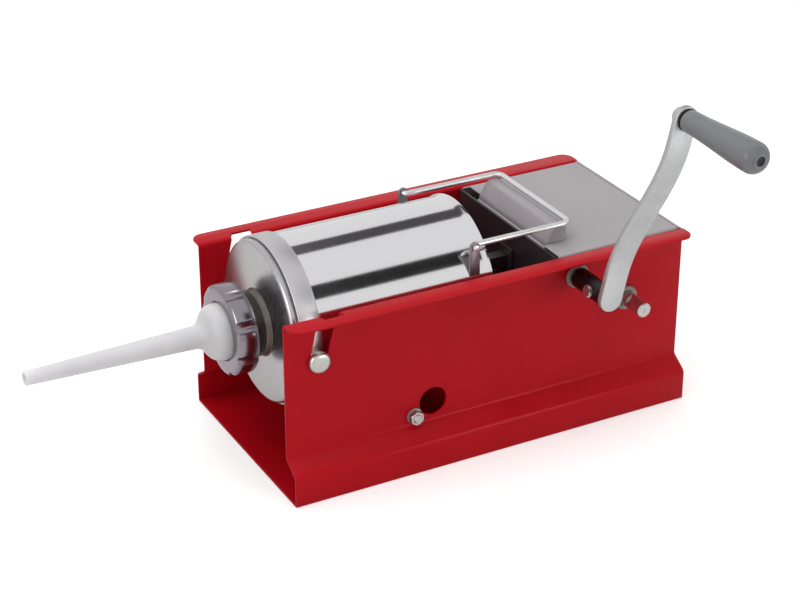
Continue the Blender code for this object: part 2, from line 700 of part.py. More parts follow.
def front_cap():
    """The cap with its rounded rim, spigot and threaded spout."""
    rim = arc((CAP_ROUNDING, CAP_RADIUS - CAP_ROUNDING), CAP_ROUNDING, math.pi, math.pi / 2, 2)
    spigot = TUBE_BORE - FIT
    back = CAP_BACK_X - CAP_X
    spout = SPOUT_END_X - CAP_X
    profile = [(back, SPOUT_BORE), (spout, SPOUT_BORE), (spout, SPOUT_RADIUS),
               (0, SPOUT_RADIUS), *rim, (CAP_THICKNESS, CAP_RADIUS), (CAP_THICKNESS, spigot),
               (back, spigot)]
    return turned("front_cap", profile, "X", (at_x(CAP_X), 0, AXIS_Z), SATIN_STEEL)


def gasket():
    """The rubber ring between cap and tube."""
    inner = TUBE_BORE
    outer = CAP_RADIUS
    profile = [(0, inner), (0, outer), (GASKET_THICKNESS, outer), (GASKET_THICKNESS, inner)]
    return turned("cap_gasket", profile, "X", (at_x(GASKET_X), 0, AXIS_Z), RUBBER)


def trunnion(name, side):
    """A headed pin on the collar. Its neck sits in the panel's slot."""
    neck = SLOT_RADIUS - FIT
    head_start = PANEL_OUT + FIT
    head_end = head_start + TRUNNION_HEAD
    root = TUBE_RADIUS + FIT
    rim = TRUNNION_HEAD / 3
    profile = [(side * root, 0), (side * root, neck), (side * head_start, neck),
               (side * head_start, TRUNNION_HEAD_RADIUS), (side * (head_end - rim), TRUNNION_HEAD_RADIUS),
               (side * head_end, TRUNNION_HEAD_RADIUS - rim), (side * head_end, 0)]
    pin = turned(name, profile, "Y", (at_x(TRUNNION_X), 0, AXIS_Z), ZINC_STEEL, SMALL_ROUND)
    band = TUBE_RADIUS + FIT + COLLAR_WALL + FIT
    cut(pin, round_cutter(name + "_seat", (0, AXIS_Z), band, at_x(0), at_x(TUBE_LENGTH), "X", ROUND))
    return apply(pin)


def ear(name, side):
    """An upright ear welded on the tube, with the hole the bail turns in."""
    centre = (at_x(BAIL_PIVOT_X), BAIL_Z)
    half = EAR_WIDTH / 2
    outline = arc(centre, half, 0, math.pi, 10)
    outline += [(centre[0] - half, AXIS_Z), (centre[0] + half, AXIS_Z)]
    middle = BAIL_ARM_Y + BAIL_ROD_RADIUS + FIT + EAR_THICKNESS / 2
    plate = flat(name, [outline, circle(centre, BAIL_ROD_RADIUS + FIT, BOLT_ROUND)], EAR_THICKNESS, "Y",
                 (0, side * middle, 0), ZINC_STEEL)
    start, end = at_x(TUBE_X), at_x(TUBE_END_X + EAR_WIDTH)
    cut(plate, round_cutter(name + "_seat", (0, AXIS_Z), TUBE_RADIUS + FIT, start, end, "X", ROUND))
    return apply(plate)


def cradle():
    """The cross rod under the tube, with a washer and a nut at each end."""
    reach = PANEL_OUT + FIT + WASHER_THICKNESS + FIT + CRADLE_NUT_HEIGHT + CRADLE_ROD_PROUD
    place = (at_x(CRADLE_X), 0, CRADLE_Z)
    bevel = CRADLE_ROD_PROUD / 2
    profile = [(-reach, 0), (-reach, CRADLE_RADIUS - bevel), (bevel - reach, CRADLE_RADIUS),
               (reach - bevel, CRADLE_RADIUS), (reach, CRADLE_RADIUS - bevel), (reach, 0)]
    turned("cradle_rod", profile, "Y", place, ZINC_STEEL, BOLT_ROUND)
    for word, side in (("near", -1), ("far", 1)):
        start = side * (PANEL_OUT + FIT)
        ring(f"{word}_cradle_washer", place, start, side * WASHER_THICKNESS, CRADLE_RADIUS + FIT,
             CRADLE_WASHER_RADIUS, ZINC_STEEL)
        start += side * (WASHER_THICKNESS + FIT)
        hex_nut(f"{word}_cradle_nut", place, start, side * CRADLE_NUT_HEIGHT, CRADLE_RADIUS + FIT,
                CRADLE_NUT_FLATS)


def ring(name, place, start, length, inner, outer, finish, sides=BOLT_ROUND):
    """A plain ring along Y from start, at a shaft's place."""
    profile = [(0, inner), (0, outer), (length, outer), (length, inner)]
    return turned(name, profile, "Y", (place[0], start, place[2]), finish, sides)


def hex_nut(name, place, start, length, inner, flats):
    """A hexagon nut along Y from start, at a shaft's place."""
    outline = hexagon((0, 0), flats)
    return flat(name, [outline, circle((0, 0), inner, BOLT_ROUND)], abs(length), "Y",
                (place[0], start + length / 2, place[2]), ZINC_STEEL)


def build_cylinder():
    """The cylinder with what is fixed to it."""
    tube()
    collar()
    front_cap()
    gasket()
    trunnion("near_trunnion", -1)
    trunnion("far_trunnion", 1)
    ear("near_bail_ear", -1)
    ear("far_bail_ear", 1)
    cradle()


# Ring nut and nozzle

def lobed_outline():
    """Outline of the ring nut: rounded lobes with scallops between them."""
    steps = NUT_LOBES * 8
    points = []
    for i in range(steps):
        angle = math.tau * i / steps
        wave = 0.5 + 0.5 * math.cos(angle * NUT_LOBES)
        radius = NUT_RADIUS - NUT_SCALLOP * (1 - wave ** NUT_SCALLOP_SHAPE)
        points.append((radius * math.cos(angle + NUT_TURNED), radius * math.sin(angle + NUT_TURNED)))
    return points


def ring_nut():
    """The lobed nut that clamps the nozzle on the spout."""
    blank = flat("ring_nut", [lobed_outline(), circle((0, 0), NUT_OPENING, ROUND)], NUT_THICKNESS, "X",
                 (at_x(NUT_FACE_X) + NUT_THICKNESS / 2, 0, AXIS_Z), CAST_ALUMINIUM)
    cut(blank, round_cutter("ring_nut_thread", (0, AXIS_Z), SPOUT_RADIUS + FIT, at_x(NUT_FACE_X + NUT_LIP),
                            at_x(CAP_X), "X", ROUND))
    return apply(blank)


def nozzle():
    """The stuffing nozzle: clamped flange, short cone and long tapering tube."""
    back = SPOUT_END_X - FIT
    stations = [(NOZZLE_MOUTH_REACH, NOZZLE_MOUTH_RADIUS),
                (NOZZLE_SHOULDER_REACH * 0.8, NOZZLE_MOUTH_RADIUS * 0.93),
                (NOZZLE_SHOULDER_REACH, NOZZLE_SHOULDER_RADIUS), (NOZZLE_NECK_REACH, NOZZLE_NECK_RADIUS),
                (NOZZLE_REACH, NOZZLE_TIP_RADIUS)]
    outside = [(NUT_FACE_X - reach, radius) for reach, radius in stations]
    inside = [(along, radius - NOZZLE_WALL) for along, radius in reversed(outside)]
    outside = [(back, SPOUT_RADIUS), (back - NOZZLE_FLANGE, SPOUT_RADIUS),
               (back - NOZZLE_FLANGE, NOZZLE_MOUTH_RADIUS), *outside]
    inside.append((back, NOZZLE_MOUTH_RADIUS - NOZZLE_WALL))
    return turned("nozzle", outside + inside, "X", (FRONT, 0, AXIS_Z), WHITE_PLASTIC, NOZZLE_ROUND)


# Gears, rack and shafts

def involute_flank(base_radius, radius):
    """Angle that an involute has turned through at a radius."""
    if radius <= base_radius:
        return 0.0
    tangent = math.sqrt((radius / base_radius) ** 2 - 1)
    return tangent - math.atan(tangent)


def gear_outline(teeth, first_tooth, flank_steps):
    """Outline of an involute gear with one tooth centred on the angle first_tooth."""
    pitch_radius = GEAR_MODULE * teeth / 2
    base_radius = pitch_radius * math.cos(PRESSURE_ANGLE)
    tip_radius = pitch_radius + ADDENDUM * GEAR_MODULE
    root_radius = pitch_radius - DEDENDUM * GEAR_MODULE
    half_pitch_tooth = (math.pi * GEAR_MODULE / 2 - TOOTH_BACKLASH) / 2 / pitch_radius
    half_base_tooth = half_pitch_tooth + involute_flank(base_radius, pitch_radius)
    start = max(base_radius, root_radius)
    radii = [start + (tip_radius - start) * i / flank_steps for i in range(flank_steps + 1)]
    flank = [(r, half_base_tooth - involute_flank(base_radius, r)) for r in radii]
    if root_radius < base_radius:
        flank.insert(0, (root_radius, half_base_tooth))
    points = []
    for tooth in range(teeth):
        centre = first_tooth + math.tau * tooth / teeth
        for radius, half in flank:
            points.append((radius * math.cos(centre - half), radius * math.sin(centre - half)))
        for radius, half in reversed(flank):
            points.append((radius * math.cos(centre + half), radius * math.sin(centre + half)))
    return points


def gear(name, teeth, first_tooth, flank_steps, width, place, finish):
    """A spur gear bored for its shaft."""
    bore = circle((0, 0), SHAFT_RADIUS + FIT)
    return flat(name, [gear_outline(teeth, first_tooth, flank_steps), bore], width, "Y", place, finish)


def rack():
    """The toothed bar behind the plunger, teeth down."""
    pitch = math.pi * GEAR_MODULE
    slope = math.tan(PRESSURE_ANGLE)
    half_tooth = (pitch / 2 - TOOTH_BACKLASH) / 2
    tip_half = half_tooth - ADDENDUM * GEAR_MODULE * slope
    root_half = half_tooth + DEDENDUM * GEAR_MODULE * slope
    first_gap = at_x(FAST_SHAFT_X)
    count_back = int((RACK_STROKE + 2 * pitch) / pitch)
    front, rear = at_x(RACK_FRONT_X), at_x(RACK_REAR_X)
    outline = [(front, RACK_TOP_Z), (front, RACK_TIP_Z)]
    for step in range(-count_back, int(RACK_TAIL / pitch) + 2):
        centre = first_gap + (step - 0.5) * pitch
        if step == -count_back:
            outline += [(centre + tip_half, RACK_TIP_Z), (centre + root_half, RACK_ROOT_Z)]
            continue
        tooth = [(centre - root_half, RACK_ROOT_Z), (centre - tip_half, RACK_TIP_Z),
                 (centre + tip_half, RACK_TIP_Z), (centre + root_half, RACK_ROOT_Z)]
        if centre + root_half > rear:
            break
        outline += tooth
    outline += [(rear, RACK_ROOT_Z), (rear, RACK_TOP_Z)]
    return flat("rack", [outline], RACK_WIDTH, "Y", (0, 0, 0), SATIN_STEEL)


def shaft(name, place, near_end, flat_angle):
    """A shaft across the frame with a flat for the crank's screw and a groove for its ring."""
    far_end = PANEL_OUT + FIT + BUSH_FLANGE + FIT + RING_WIDTH + 2 * FIT + RING_PROUD
    groove = far_end - RING_PROUD
    groove_start = groove - RING_WIDTH - 2 * FIT
    neck = SHAFT_RADIUS - RING_GROOVE
    bevel = RING_GROOVE
    profile = [(near_end, 0), (near_end, SHAFT_RADIUS - bevel), (near_end + bevel, SHAFT_RADIUS),
               (groove_start, SHAFT_RADIUS), (groove_start, neck), (groove, neck),
               (groove, SHAFT_RADIUS), (far_end - bevel, SHAFT_RADIUS), (far_end, SHAFT_RADIUS - bevel),
               (far_end, 0)]
    bar = turned(name, profile, "Y", place, ZINC_STEEL, SMALL_ROUND)
    middle = near_end + FLAT_FROM_END + FLAT_LENGTH / 2
    half = Vector((SHAFT_RADIUS, FLAT_LENGTH / 2, 2 * SHAFT_RADIUS))
    cutter = box(name + "_flat", -half, half, None, CUTTERS)
    away = 2 * SHAFT_RADIUS - FLAT_DEPTH
    cutter.location = (place[0] - math.cos(flat_angle) * away, middle, place[2] + math.sin(flat_angle) * away)
    cutter.rotation_euler = (0, flat_angle, 0)
    cut(bar, cutter)
    return apply(bar)


def retaining_ring(name, place):
    """The ring in a shaft's groove outside the far bush."""
    start = PANEL_OUT + FIT + BUSH_FLANGE + FIT
    inner = SHAFT_RADIUS - RING_GROOVE + FIT
    outer = SHAFT_RADIUS + RING_GROOVE * 2
    return ring(name, place, start, RING_WIDTH, inner, outer, DARK_STEEL, SMALL_ROUND)


def bush(name, place, side):
    """A flanged nylon bush pressed in a panel."""
    bore = SHAFT_RADIUS + RUN
    sleeve = bore + BUSH_WALL
    inside = PANEL_IN - BUSH_INSIDE
    outside = PANEL_OUT + FIT
    profile = [(side * inside, bore), (side * inside, sleeve), (side * outside, sleeve),
               (side * outside, BUSH_FLANGE_RADIUS), (side * (outside + BUSH_FLANGE), BUSH_FLANGE_RADIUS),
               (side * (outside + BUSH_FLANGE), bore)]
    return turned(name, profile, "Y", place, NYLON, SMALL_ROUND)


def build_drive():
    """Shafts, bushes, gears and rack."""
    slow = (at_x(SLOW_SHAFT_X), 0, SLOW_SHAFT_Z)
    fast = (at_x(FAST_SHAFT_X), 0, FAST_SHAFT_Z)
    for word, side in (("near", -1), ("far", 1)):
        bush(f"{word}_slow_bush", slow, side)
        bush(f"{word}_fast_bush", fast, side)
    shaft("slow_shaft", slow, CRANK_Y + CRANK_THICKNESS / 2 + FIT, CRANK_LEAN)
    shaft("fast_shaft", fast, -PANEL_OUT - STUB_REACH, math.radians(45))
    retaining_ring("slow_retaining_ring", slow)
    retaining_ring("fast_retaining_ring", fast)
    gear("slow_pinion", SLOW_TEETH, GEAR_LINE_ANGLE + math.pi + math.pi / SLOW_TEETH, 3, SLOW_PINION_WIDTH,
         (slow[0], GEAR_Y, slow[2]), SATIN_STEEL)
    gear("fast_gear", FAST_TEETH, GEAR_LINE_ANGLE, 2, FAST_GEAR_WIDTH, (fast[0], GEAR_Y, fast[2]), DARK_STEEL)
    gear("rack_pinion", RACK_PINION_TEETH, math.pi / 2, 3, RACK_PINION_WIDTH, fast, SATIN_STEEL)
    rack()
    bore = SHAFT_RADIUS + FIT
    gear_edge = GEAR_Y + FAST_GEAR_WIDTH / 2 + FIT
    pinion_edge = RACK_PINION_WIDTH / 2 + FIT
    ring("near_spacer_tube", fast, gear_edge, -pinion_edge - gear_edge, bore, bore + SPACER_WALL, ZINC_STEEL)
    far_stop = PANEL_IN - BUSH_INSIDE - FIT
    ring("far_spacer_tube", fast, pinion_edge, far_stop - pinion_edge, bore, bore + SPACER_WALL, ZINC_STEEL)
    stop = GEAR_Y + SLOW_PINION_WIDTH / 2 + FIT
    ring("stop_collar", slow, stop, STOP_COLLAR_WIDTH, bore, bore + STOP_COLLAR_WALL, ZINC_STEEL)


# Plunger

def plunger():
    """The black plunger with a groove for its seal and a boss that holds the rack."""
    groove_start = (PLUNGER_THICKNESS - SEAL_SECTION) / 2
    groove_end = groove_start + SEAL_SECTION
    groove = PLUNGER_RADIUS - SEAL_DEPTH
    edge = PLUNGER_DISH / 2
    profile = [(0, 0), (0, PLUNGER_RADIUS - edge), (edge, PLUNGER_RADIUS), (groove_start, PLUNGER_RADIUS),
               (groove_start, groove), (groove_end, groove), (groove_end, PLUNGER_RADIUS),
               (PLUNGER_THICKNESS, PLUNGER_RADIUS), (PLUNGER_THICKNESS, PLUNGER_RADIUS - PLUNGER_DISH),
               (PLUNGER_THICKNESS - PLUNGER_DISH, PLUNGER_RADIUS - 3 * PLUNGER_DISH),
               (PLUNGER_THICKNESS - PLUNGER_DISH, PLUNGER_BOSS_RADIUS + PLUNGER_DISH),
               (PLUNGER_THICKNESS + PLUNGER_BOSS, PLUNGER_BOSS_RADIUS), (PLUNGER_THICKNESS + PLUNGER_BOSS, 0)]
    disc = turned("plunger", profile, "X", (at_x(PLUNGER_X), 0, AXIS_Z), BLACK_PLASTIC, ROUND)
    socket_end = at_x(PLUNGER_X + PLUNGER_THICKNESS + 2 * PLUNGER_BOSS)
    socket_start = at_x(RACK_FRONT_X) - FIT
    socket = flat("plunger_socket", [rack_window(FIT)], socket_end - socket_start, "X",
                  ((socket_start + socket_end) / 2, 0, 0), None, CUTTERS)
    screw_hole = round_cutter("plunger_screw_hole", (0, RACK_MIDDLE_Z), SCREW_RADIUS + FIT,
                              at_x(PLUNGER_X) - SHEET, socket_start + SHEET, "X", BOLT_ROUND)
    countersink = turned("plunger_countersink", countersink_profile(FIT, FIT), "X",
                         (at_x(PLUNGER_X), 0, RACK_MIDDLE_Z), None, BOLT_ROUND, CUTTERS)
    cut(disc, socket, screw_hole, countersink)
    return apply(disc)


def countersink_profile(grow, ahead):
    """A cone that narrows from the screw's head to its shank."""
    depth = SCREW_HEAD_RADIUS - SCREW_RADIUS
    return [(-ahead, 0), (-ahead, SCREW_HEAD_RADIUS + grow), (0, SCREW_HEAD_RADIUS + grow),
            (depth + grow, SCREW_RADIUS + grow / 2), (depth + grow, 0)]


def plunger_screw():
    """The countersunk screw that holds the plunger to the rack, in a tapped hole."""
    depth = SCREW_HEAD_RADIUS - SCREW_RADIUS
    profile = [(FIT, 0), (FIT, SCREW_HEAD_RADIUS - FIT), (depth + FIT, SCREW_RADIUS),
               (SCREW_LENGTH, SCREW_RADIUS),
               (SCREW_LENGTH, 0)]
    place = (at_x(PLUNGER_X), 0, RACK_MIDDLE_Z)
    turned("plunger_screw", profile, "X", place, ZINC_STEEL, BOLT_ROUND)
    hole = round_cutter("rack_tapped_hole", (0, RACK_MIDDLE_Z), SCREW_RADIUS + FIT,
                        at_x(RACK_FRONT_X) - SHEET, at_x(PLUNGER_X) + SCREW_LENGTH + SHEET, "X", BOLT_ROUND)
    bar = bpy.data.objects["rack"]
    cut(bar, hole)
    apply(bar)


def plunger_seal():
    """The ring in the plunger's groove that wipes the tube."""
    start = (PLUNGER_THICKNESS - SEAL_SECTION) / 2 + FIT
    length = SEAL_SECTION - 2 * FIT
    inner = PLUNGER_RADIUS - SEAL_DEPTH + FIT
    outer = TUBE_BORE - FIT
    crown = (outer - PLUNGER_RADIUS) * 0.9
    profile = [(start, inner), (start, outer - crown), (start + length / 2, outer),
               (start + length, outer - crown),
               (start + length, inner)]
    return turned("plunger_seal", profile, "X", (at_x(PLUNGER_X), 0, AXIS_Z), RUBBER, ROUND)


# Bail

def bail_rod():
    """One bent rod: two arms, the crossbar, and ends turned out through the ears."""
    end_y = BAIL_ARM_Y + BAIL_ROD_RADIUS + 2 * FIT + EAR_THICKNESS + BAIL_ROD_RADIUS
    pivot, cross = at_x(BAIL_PIVOT_X), at_x(BAIL_CROSSBAR_X)
    corners = [(pivot, end_y), (pivot, BAIL_ARM_Y), (cross, BAIL_ARM_Y), (cross, -BAIL_ARM_Y),
               (pivot, -BAIL_ARM_Y), (pivot, -end_y)]
    tight = rounded_path(corners[:3], BAIL_ROD_RADIUS * 1.05, 4)[:-1]
    wide = rounded_path(corners[1:5], BAIL_BEND, 5)[1:-1]
    other = rounded_path(corners[3:], BAIL_ROD_RADIUS * 1.05, 4)[1:]
    path = tight + wide + other
    curve = bpy.data.curves.new("bail_rod", "CURVE")
    curve.dimensions = "3D"
    curve.bevel_depth = BAIL_ROD_RADIUS
    curve.bevel_resolution = 3
    curve.use_fill_caps = True
    spline = curve.splines.new("POLY")
    spline.points.add(len(path) - 1)
    for point, (x, y) in zip(spline.points, path):
        point.co = (x - pivot, y, 0, 1)
    drawn = bpy.data.objects.new("bail_rod_curve", curve)
    CUTTERS.objects.link(drawn)
    bpy.context.view_layer.update()
    mesh = evaluated_mesh(drawn)
    bpy.data.objects.remove(drawn)
    mesh.materials.clear()
    smooth(mesh)
    return link("bail_rod", mesh, ZINC_STEEL, (pivot, 0, BAIL_Z))


def bail_bracket():
    """The folded bracket under the crossbar: front plate, top, and a wing at each side."""
    half = BRACKET_SHEET / 2
    front = at_x(BRACKET_X) + half
    rear = front + BRACKET_DEPTH
    top = BRACKET_TOP_Z - half
    bottom = BODY_HEIGHT - BRACKET_DROP
    path = rounded_path([(front, bottom), (front, top), (rear, top)], FOLD_RADIUS / 2)
    bracket = folded("bail_bracket", path, -BRACKET_HALF_WIDTH, BRACKET_HALF_WIDTH, BRACKET_SHEET, "Y",
                     SATIN_STEEL)
    wing_low = BODY_HEIGHT + FIT
    wing_front = front - half / 2
    wing_rear = rear
    for word, side in (("near", -1), ("far", 1)):
        outline = [(wing_front, wing_low), (wing_rear, wing_low), (wing_rear, top), (wing_front, top)]
        wing = flat(f"{word}_wing", [outline], BRACKET_SHEET, "Y",
                    (0, side * (BRACKET_HALF_WIDTH - half), 0), None, CUTTERS)
        join = bracket.modifiers.new(f"{word}_wing", "BOOLEAN")
        join.operation = "UNION"
        join.solver = "EXACT"
        join.object = wing
    return apply(bracket)


# Crank

def joggle(distance):
    """How far out the crank arm has stepped at a distance from the shaft."""
    share = (distance - JOGGLE_INSET) / (CRANK_RADIUS - 2 * JOGGLE_INSET)
    share = min(max(share, 0.0), 1.0)
    return CRANK_JOGGLE * share * share * (3 - 2 * share)


def arm_rows():
    """Distances along the arm and its half width there, with round ends."""
    half = CRANK_WIDTH / 2
    rows = [(-half * math.cos(math.radians(a)), half * math.sin(math.radians(a)))
            for a in (12, 30, 50, 70, 90)]
    steps = 12
    low, high = JOGGLE_INSET / 2, CRANK_RADIUS - JOGGLE_INSET
    rows += [(low + (high - low) * i / steps, half) for i in range(steps + 1)]
    rows += [(CRANK_RADIUS + half * math.sin(math.radians(a)), half * math.cos(math.radians(a)))
             for a in (0, 20, 40, 60, 78)]
    return rows


def crank_arm():
    """The stepped flat bar of the crank, with the hole for the grip's axle."""
    shape = bmesh.new()
    rows = arm_rows()
    bmesh.ops.create_grid(shape, x_segments=len(rows) - 1, y_segments=1, size=0.5)
    columns = sorted({round(v.co.x, 5) for v in shape.verts})
    for vert in shape.verts:
        distance, half = rows[columns.index(round(vert.co.x, 5))]
        across = vert.co.y * 2
        vert.co = (across * half, -joggle(distance), distance)
    mesh = mesh_from("crank_arm", shape)
    arm = link("crank_arm", mesh, ZINC_STEEL, (at_x(SLOW_SHAFT_X), CRANK_Y, SLOW_SHAFT_Z))
    arm.rotation_euler = (0, CRANK_LEAN, 0)
    solid = arm.modifiers.new("thickness", "SOLIDIFY")
    solid.thickness = CRANK_THICKNESS
    solid.offset = 0
    solid.use_even_offset = True
    hole = round_cutter("arm_hole", (at_x(GRIP_X), GRIP_Z), AXLE_RADIUS + FIT, CRANK_TOP_Y - CRANK_WIDTH,
                        CRANK_TOP_Y + CRANK_WIDTH, "Y")
    cut(arm, hole)
    return arm


def crank_hub():
    """The sleeve that slides on a shaft end, with a tapped hole for its screw."""
    start = CRANK_Y + CRANK_THICKNESS / 2 + FIT
    end = start + HUB_LENGTH
    bore = SHAFT_RADIUS + RUN
    edge = RING_GROOVE
    profile = [(start, bore), (start, HUB_RADIUS), (end - edge, HUB_RADIUS), (end, HUB_RADIUS - edge),
               (end, bore)]
    hub = turned("crank_hub", profile, "Y", (at_x(SLOW_SHAFT_X), 0, SLOW_SHAFT_Z), DARK_STEEL, SMALL_ROUND)
    tapped = SET_SCREW_RADIUS + RUN
    reach = HUB_RADIUS * 2
    hole = turned("hub_screw_hole", [(0, 0), (0, tapped), (reach, tapped), (reach, 0)], "X",
                  set_screw_place(), None, BOLT_ROUND, CUTTERS)
    hole.rotation_euler = (0, CRANK_LEAN + math.pi, 0)
    cut(hub, hole)
    return apply(hub)


def set_screw_place():
    """The point on the slow shaft's axis below its flat."""
    middle = CRANK_Y + CRANK_THICKNESS / 2 + FIT + FLAT_FROM_END + FLAT_LENGTH / 2
    return (at_x(SLOW_SHAFT_X), middle, SLOW_SHAFT_Z)


def set_screw():
    """The hexagon screw that holds the crank on the shaft's flat."""
    tip = SHAFT_RADIUS - FLAT_DEPTH + FIT
    seat = HUB_RADIUS + FIT
    profile = [(tip, 0), (tip, SET_SCREW_RADIUS), (seat, SET_SCREW_RADIUS), (seat, SET_SCREW_FLATS / 2),
               (seat + SET_SCREW_HEAD * 0.75, SET_SCREW_FLATS / 2),
               (seat + SET_SCREW_HEAD, SET_SCREW_FLATS * 0.4),
               (seat + SET_SCREW_HEAD, 0)]
    screw = turned("crank_set_screw", profile, "X", set_screw_place(), ZINC_STEEL, 12)
    screw.rotation_euler = (0, CRANK_LEAN + math.pi, 0)
    return screw


def grip():
    """The grey hand grip, wider at its outer end, recessed for the axle's head."""
    bore = AXLE_RADIUS + RUN
    round_end = GRIP_OUTER_RADIUS * 0.5
    length = GRIP_LENGTH
    outside = [(0, GRIP_INNER_RADIUS * 0.9), (length * 0.03, GRIP_INNER_RADIUS)]
    for i in range(1, 5):
        share = i / 4
        swell = share * share * (3 - 2 * share)
        radius = GRIP_INNER_RADIUS + (GRIP_OUTER_RADIUS - GRIP_INNER_RADIUS) * swell
        outside.append((length * 0.03 + (length * 0.97 - round_end) * share, radius))
    outside += arc((length - round_end, GRIP_OUTER_RADIUS - round_end), round_end, math.radians(60), 0, 3)
    outside += [(length, GRIP_RECESS_RADIUS), (length - GRIP_RECESS, GRIP_RECESS_RADIUS),
                (length - GRIP_RECESS, bore), (0, bore)]
    profile = [(-along, radius) for along, radius in outside]
    return turned("crank_grip", profile, "Y", (at_x(GRIP_X), GRIP_START_Y, GRIP_Z), GREY_PLASTIC, SMALL_ROUND)


def grip_fixings():
    """Axle through the grip and the arm, washer between them, nut behind the arm."""
    head_seat = GRIP_END_Y + GRIP_RECESS - FIT
    inner_face = CRANK_TOP_Y + CRANK_THICKNESS / 2
    nut_start = inner_face + FIT
    end = nut_start + GRIP_NUT_HEIGHT + CRADLE_ROD_PROUD
    head = head_seat - AXLE_HEAD
    profile = [(head, 0), (head, AXLE_HEAD_RADIUS), (head_seat, AXLE_HEAD_RADIUS),
               (head_seat, AXLE_RADIUS), (end, AXLE_RADIUS), (end, 0)]
    place = (at_x(GRIP_X), 0, GRIP_Z)
    turned("grip_axle", profile, "Y", place, ZINC_STEEL, SMALL_ROUND)
    hex_nut("grip_nut", place, nut_start, GRIP_NUT_HEIGHT, AXLE_RADIUS + FIT, GRIP_NUT_FLATS)
    outer_face = CRANK_TOP_Y - CRANK_THICKNESS / 2
    ring("grip_washer", place, outer_face - FIT, -WASHER_THICKNESS, AXLE_RADIUS + FIT, GRIP_INNER_RADIUS,
         ZINC_STEEL)


build_frame()
build_cylinder()
ring_nut()
nozzle()
build_drive()
plunger()
plunger_screw()
plunger_seal()
bail_rod()
bail_bracket()
crank_arm()
crank_hub()
set_screw()
grip()
grip_fixings()
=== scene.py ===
import math

import bmesh
import bpy
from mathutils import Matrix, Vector


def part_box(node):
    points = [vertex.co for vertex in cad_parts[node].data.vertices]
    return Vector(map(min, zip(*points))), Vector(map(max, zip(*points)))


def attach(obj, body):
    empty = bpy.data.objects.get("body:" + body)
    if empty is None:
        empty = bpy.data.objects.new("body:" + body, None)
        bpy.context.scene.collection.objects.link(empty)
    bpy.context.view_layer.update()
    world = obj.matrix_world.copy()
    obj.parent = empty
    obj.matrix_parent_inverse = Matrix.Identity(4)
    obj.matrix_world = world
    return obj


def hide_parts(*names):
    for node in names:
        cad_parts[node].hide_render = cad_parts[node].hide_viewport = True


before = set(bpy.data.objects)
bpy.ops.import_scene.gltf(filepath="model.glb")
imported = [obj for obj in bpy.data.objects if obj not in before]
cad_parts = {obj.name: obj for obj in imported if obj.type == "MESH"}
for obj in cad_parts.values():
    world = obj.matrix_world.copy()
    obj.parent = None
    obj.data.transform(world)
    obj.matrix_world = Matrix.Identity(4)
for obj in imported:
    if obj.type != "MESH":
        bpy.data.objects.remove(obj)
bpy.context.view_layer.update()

scene = bpy.context.scene
scene.view_settings.view_transform = "Standard"

# Studio. A pale floor, one broad soft light overhead and two weaker ones at the sides. A grey and a
# black board stand beside the steel cylinder as in a product studio: only reflections see them.
CAMERA_PLACE = (-0.8353, -1.4697, 0.9721)
CAMERA_AZIMUTH = math.radians(-28.31)
CAMERA_ELEVATION = math.radians(27.17)
CAMERA_LENS = 92.9
FLOOR_HEX = "E9E8E7"
SHADOW_LIFT = 0.36          # what the floor adds for the camera, so that it ends near white
WORLD_FILL = 0.38           # the world's strength for diffuse light
WORLD_MIRROR = 0.50         # what reflections see on top of that


def hex_colour(code):
    """Linear colour of an sRGB hex value."""
    parts = [int(code[i:i + 2], 16) / 255 for i in (0, 2, 4)]
    return tuple(p / 12.92 if p <= 0.04045 else ((p + 0.055) / 1.055) ** 2.4 for p in parts) + (1.0,)


def add_node(tree, kind, sockets=None, links=None, **settings):
    """A node with its settings, its socket values and what feeds it."""
    made = tree.nodes.new(kind)
    for name, value in settings.items():
        setattr(made, name, value)
    for name, value in (sockets or {}).items():
        made.inputs[name].default_value = value
    for name, source in (links or {}).items():
        tree.links.new(source, made.inputs[name])
    return made


def start_material(name, colour, roughness, metallic=0.0):
    """A Principled material at its plain values, with its tree and shader."""
    made = bpy.data.materials.new(name)
    made.use_nodes = True
    shader = made.node_tree.nodes["Principled BSDF"]
    shader.inputs["Base Color"].default_value = hex_colour(colour)
    shader.inputs["Roughness"].default_value = roughness
    shader.inputs["Metallic"].default_value = metallic
    return made, made.node_tree, shader


back = Vector((math.sin(CAMERA_AZIMUTH) * math.cos(CAMERA_ELEVATION),
               -math.cos(CAMERA_AZIMUTH) * math.cos(CAMERA_ELEVATION), math.sin(CAMERA_ELEVATION)))
camera_data = bpy.data.cameras.new("camera")
camera_data.lens = CAMERA_LENS
camera_data.sensor_width = 36.0
camera = bpy.data.objects.new("camera", camera_data)
camera.location = CAMERA_PLACE
camera.rotation_euler = (-back).to_track_quat("-Z", "Y").to_euler()
scene.collection.objects.link(camera)
scene.camera = camera

world = bpy.data.worlds.new("studio")
world.use_nodes = True
scene.world = world
tree = world.node_tree
rays = add_node(tree, "ShaderNodeLightPath")
seen = add_node(tree, "ShaderNodeMath", operation="MAXIMUM",
                links={0: rays.outputs["Is Camera Ray"], 1: rays.outputs["Is Transmission Ray"]})
level = add_node(tree, "ShaderNodeMapRange", sockets={"To Min": WORLD_FILL, "To Max": 1.0},
                 links={"Value": seen.outputs[0]})
mirror = add_node(tree, "ShaderNodeMath", operation="MULTIPLY_ADD", sockets={1: WORLD_MIRROR},
                  links={0: rays.outputs["Is Glossy Ray"], 2: level.outputs[0]})
sky = tree.nodes["Background"]
sky.inputs["Color"].default_value = (1.0, 1.0, 1.0, 1.0)
tree.links.new(mirror.outputs[0], sky.inputs["Strength"])

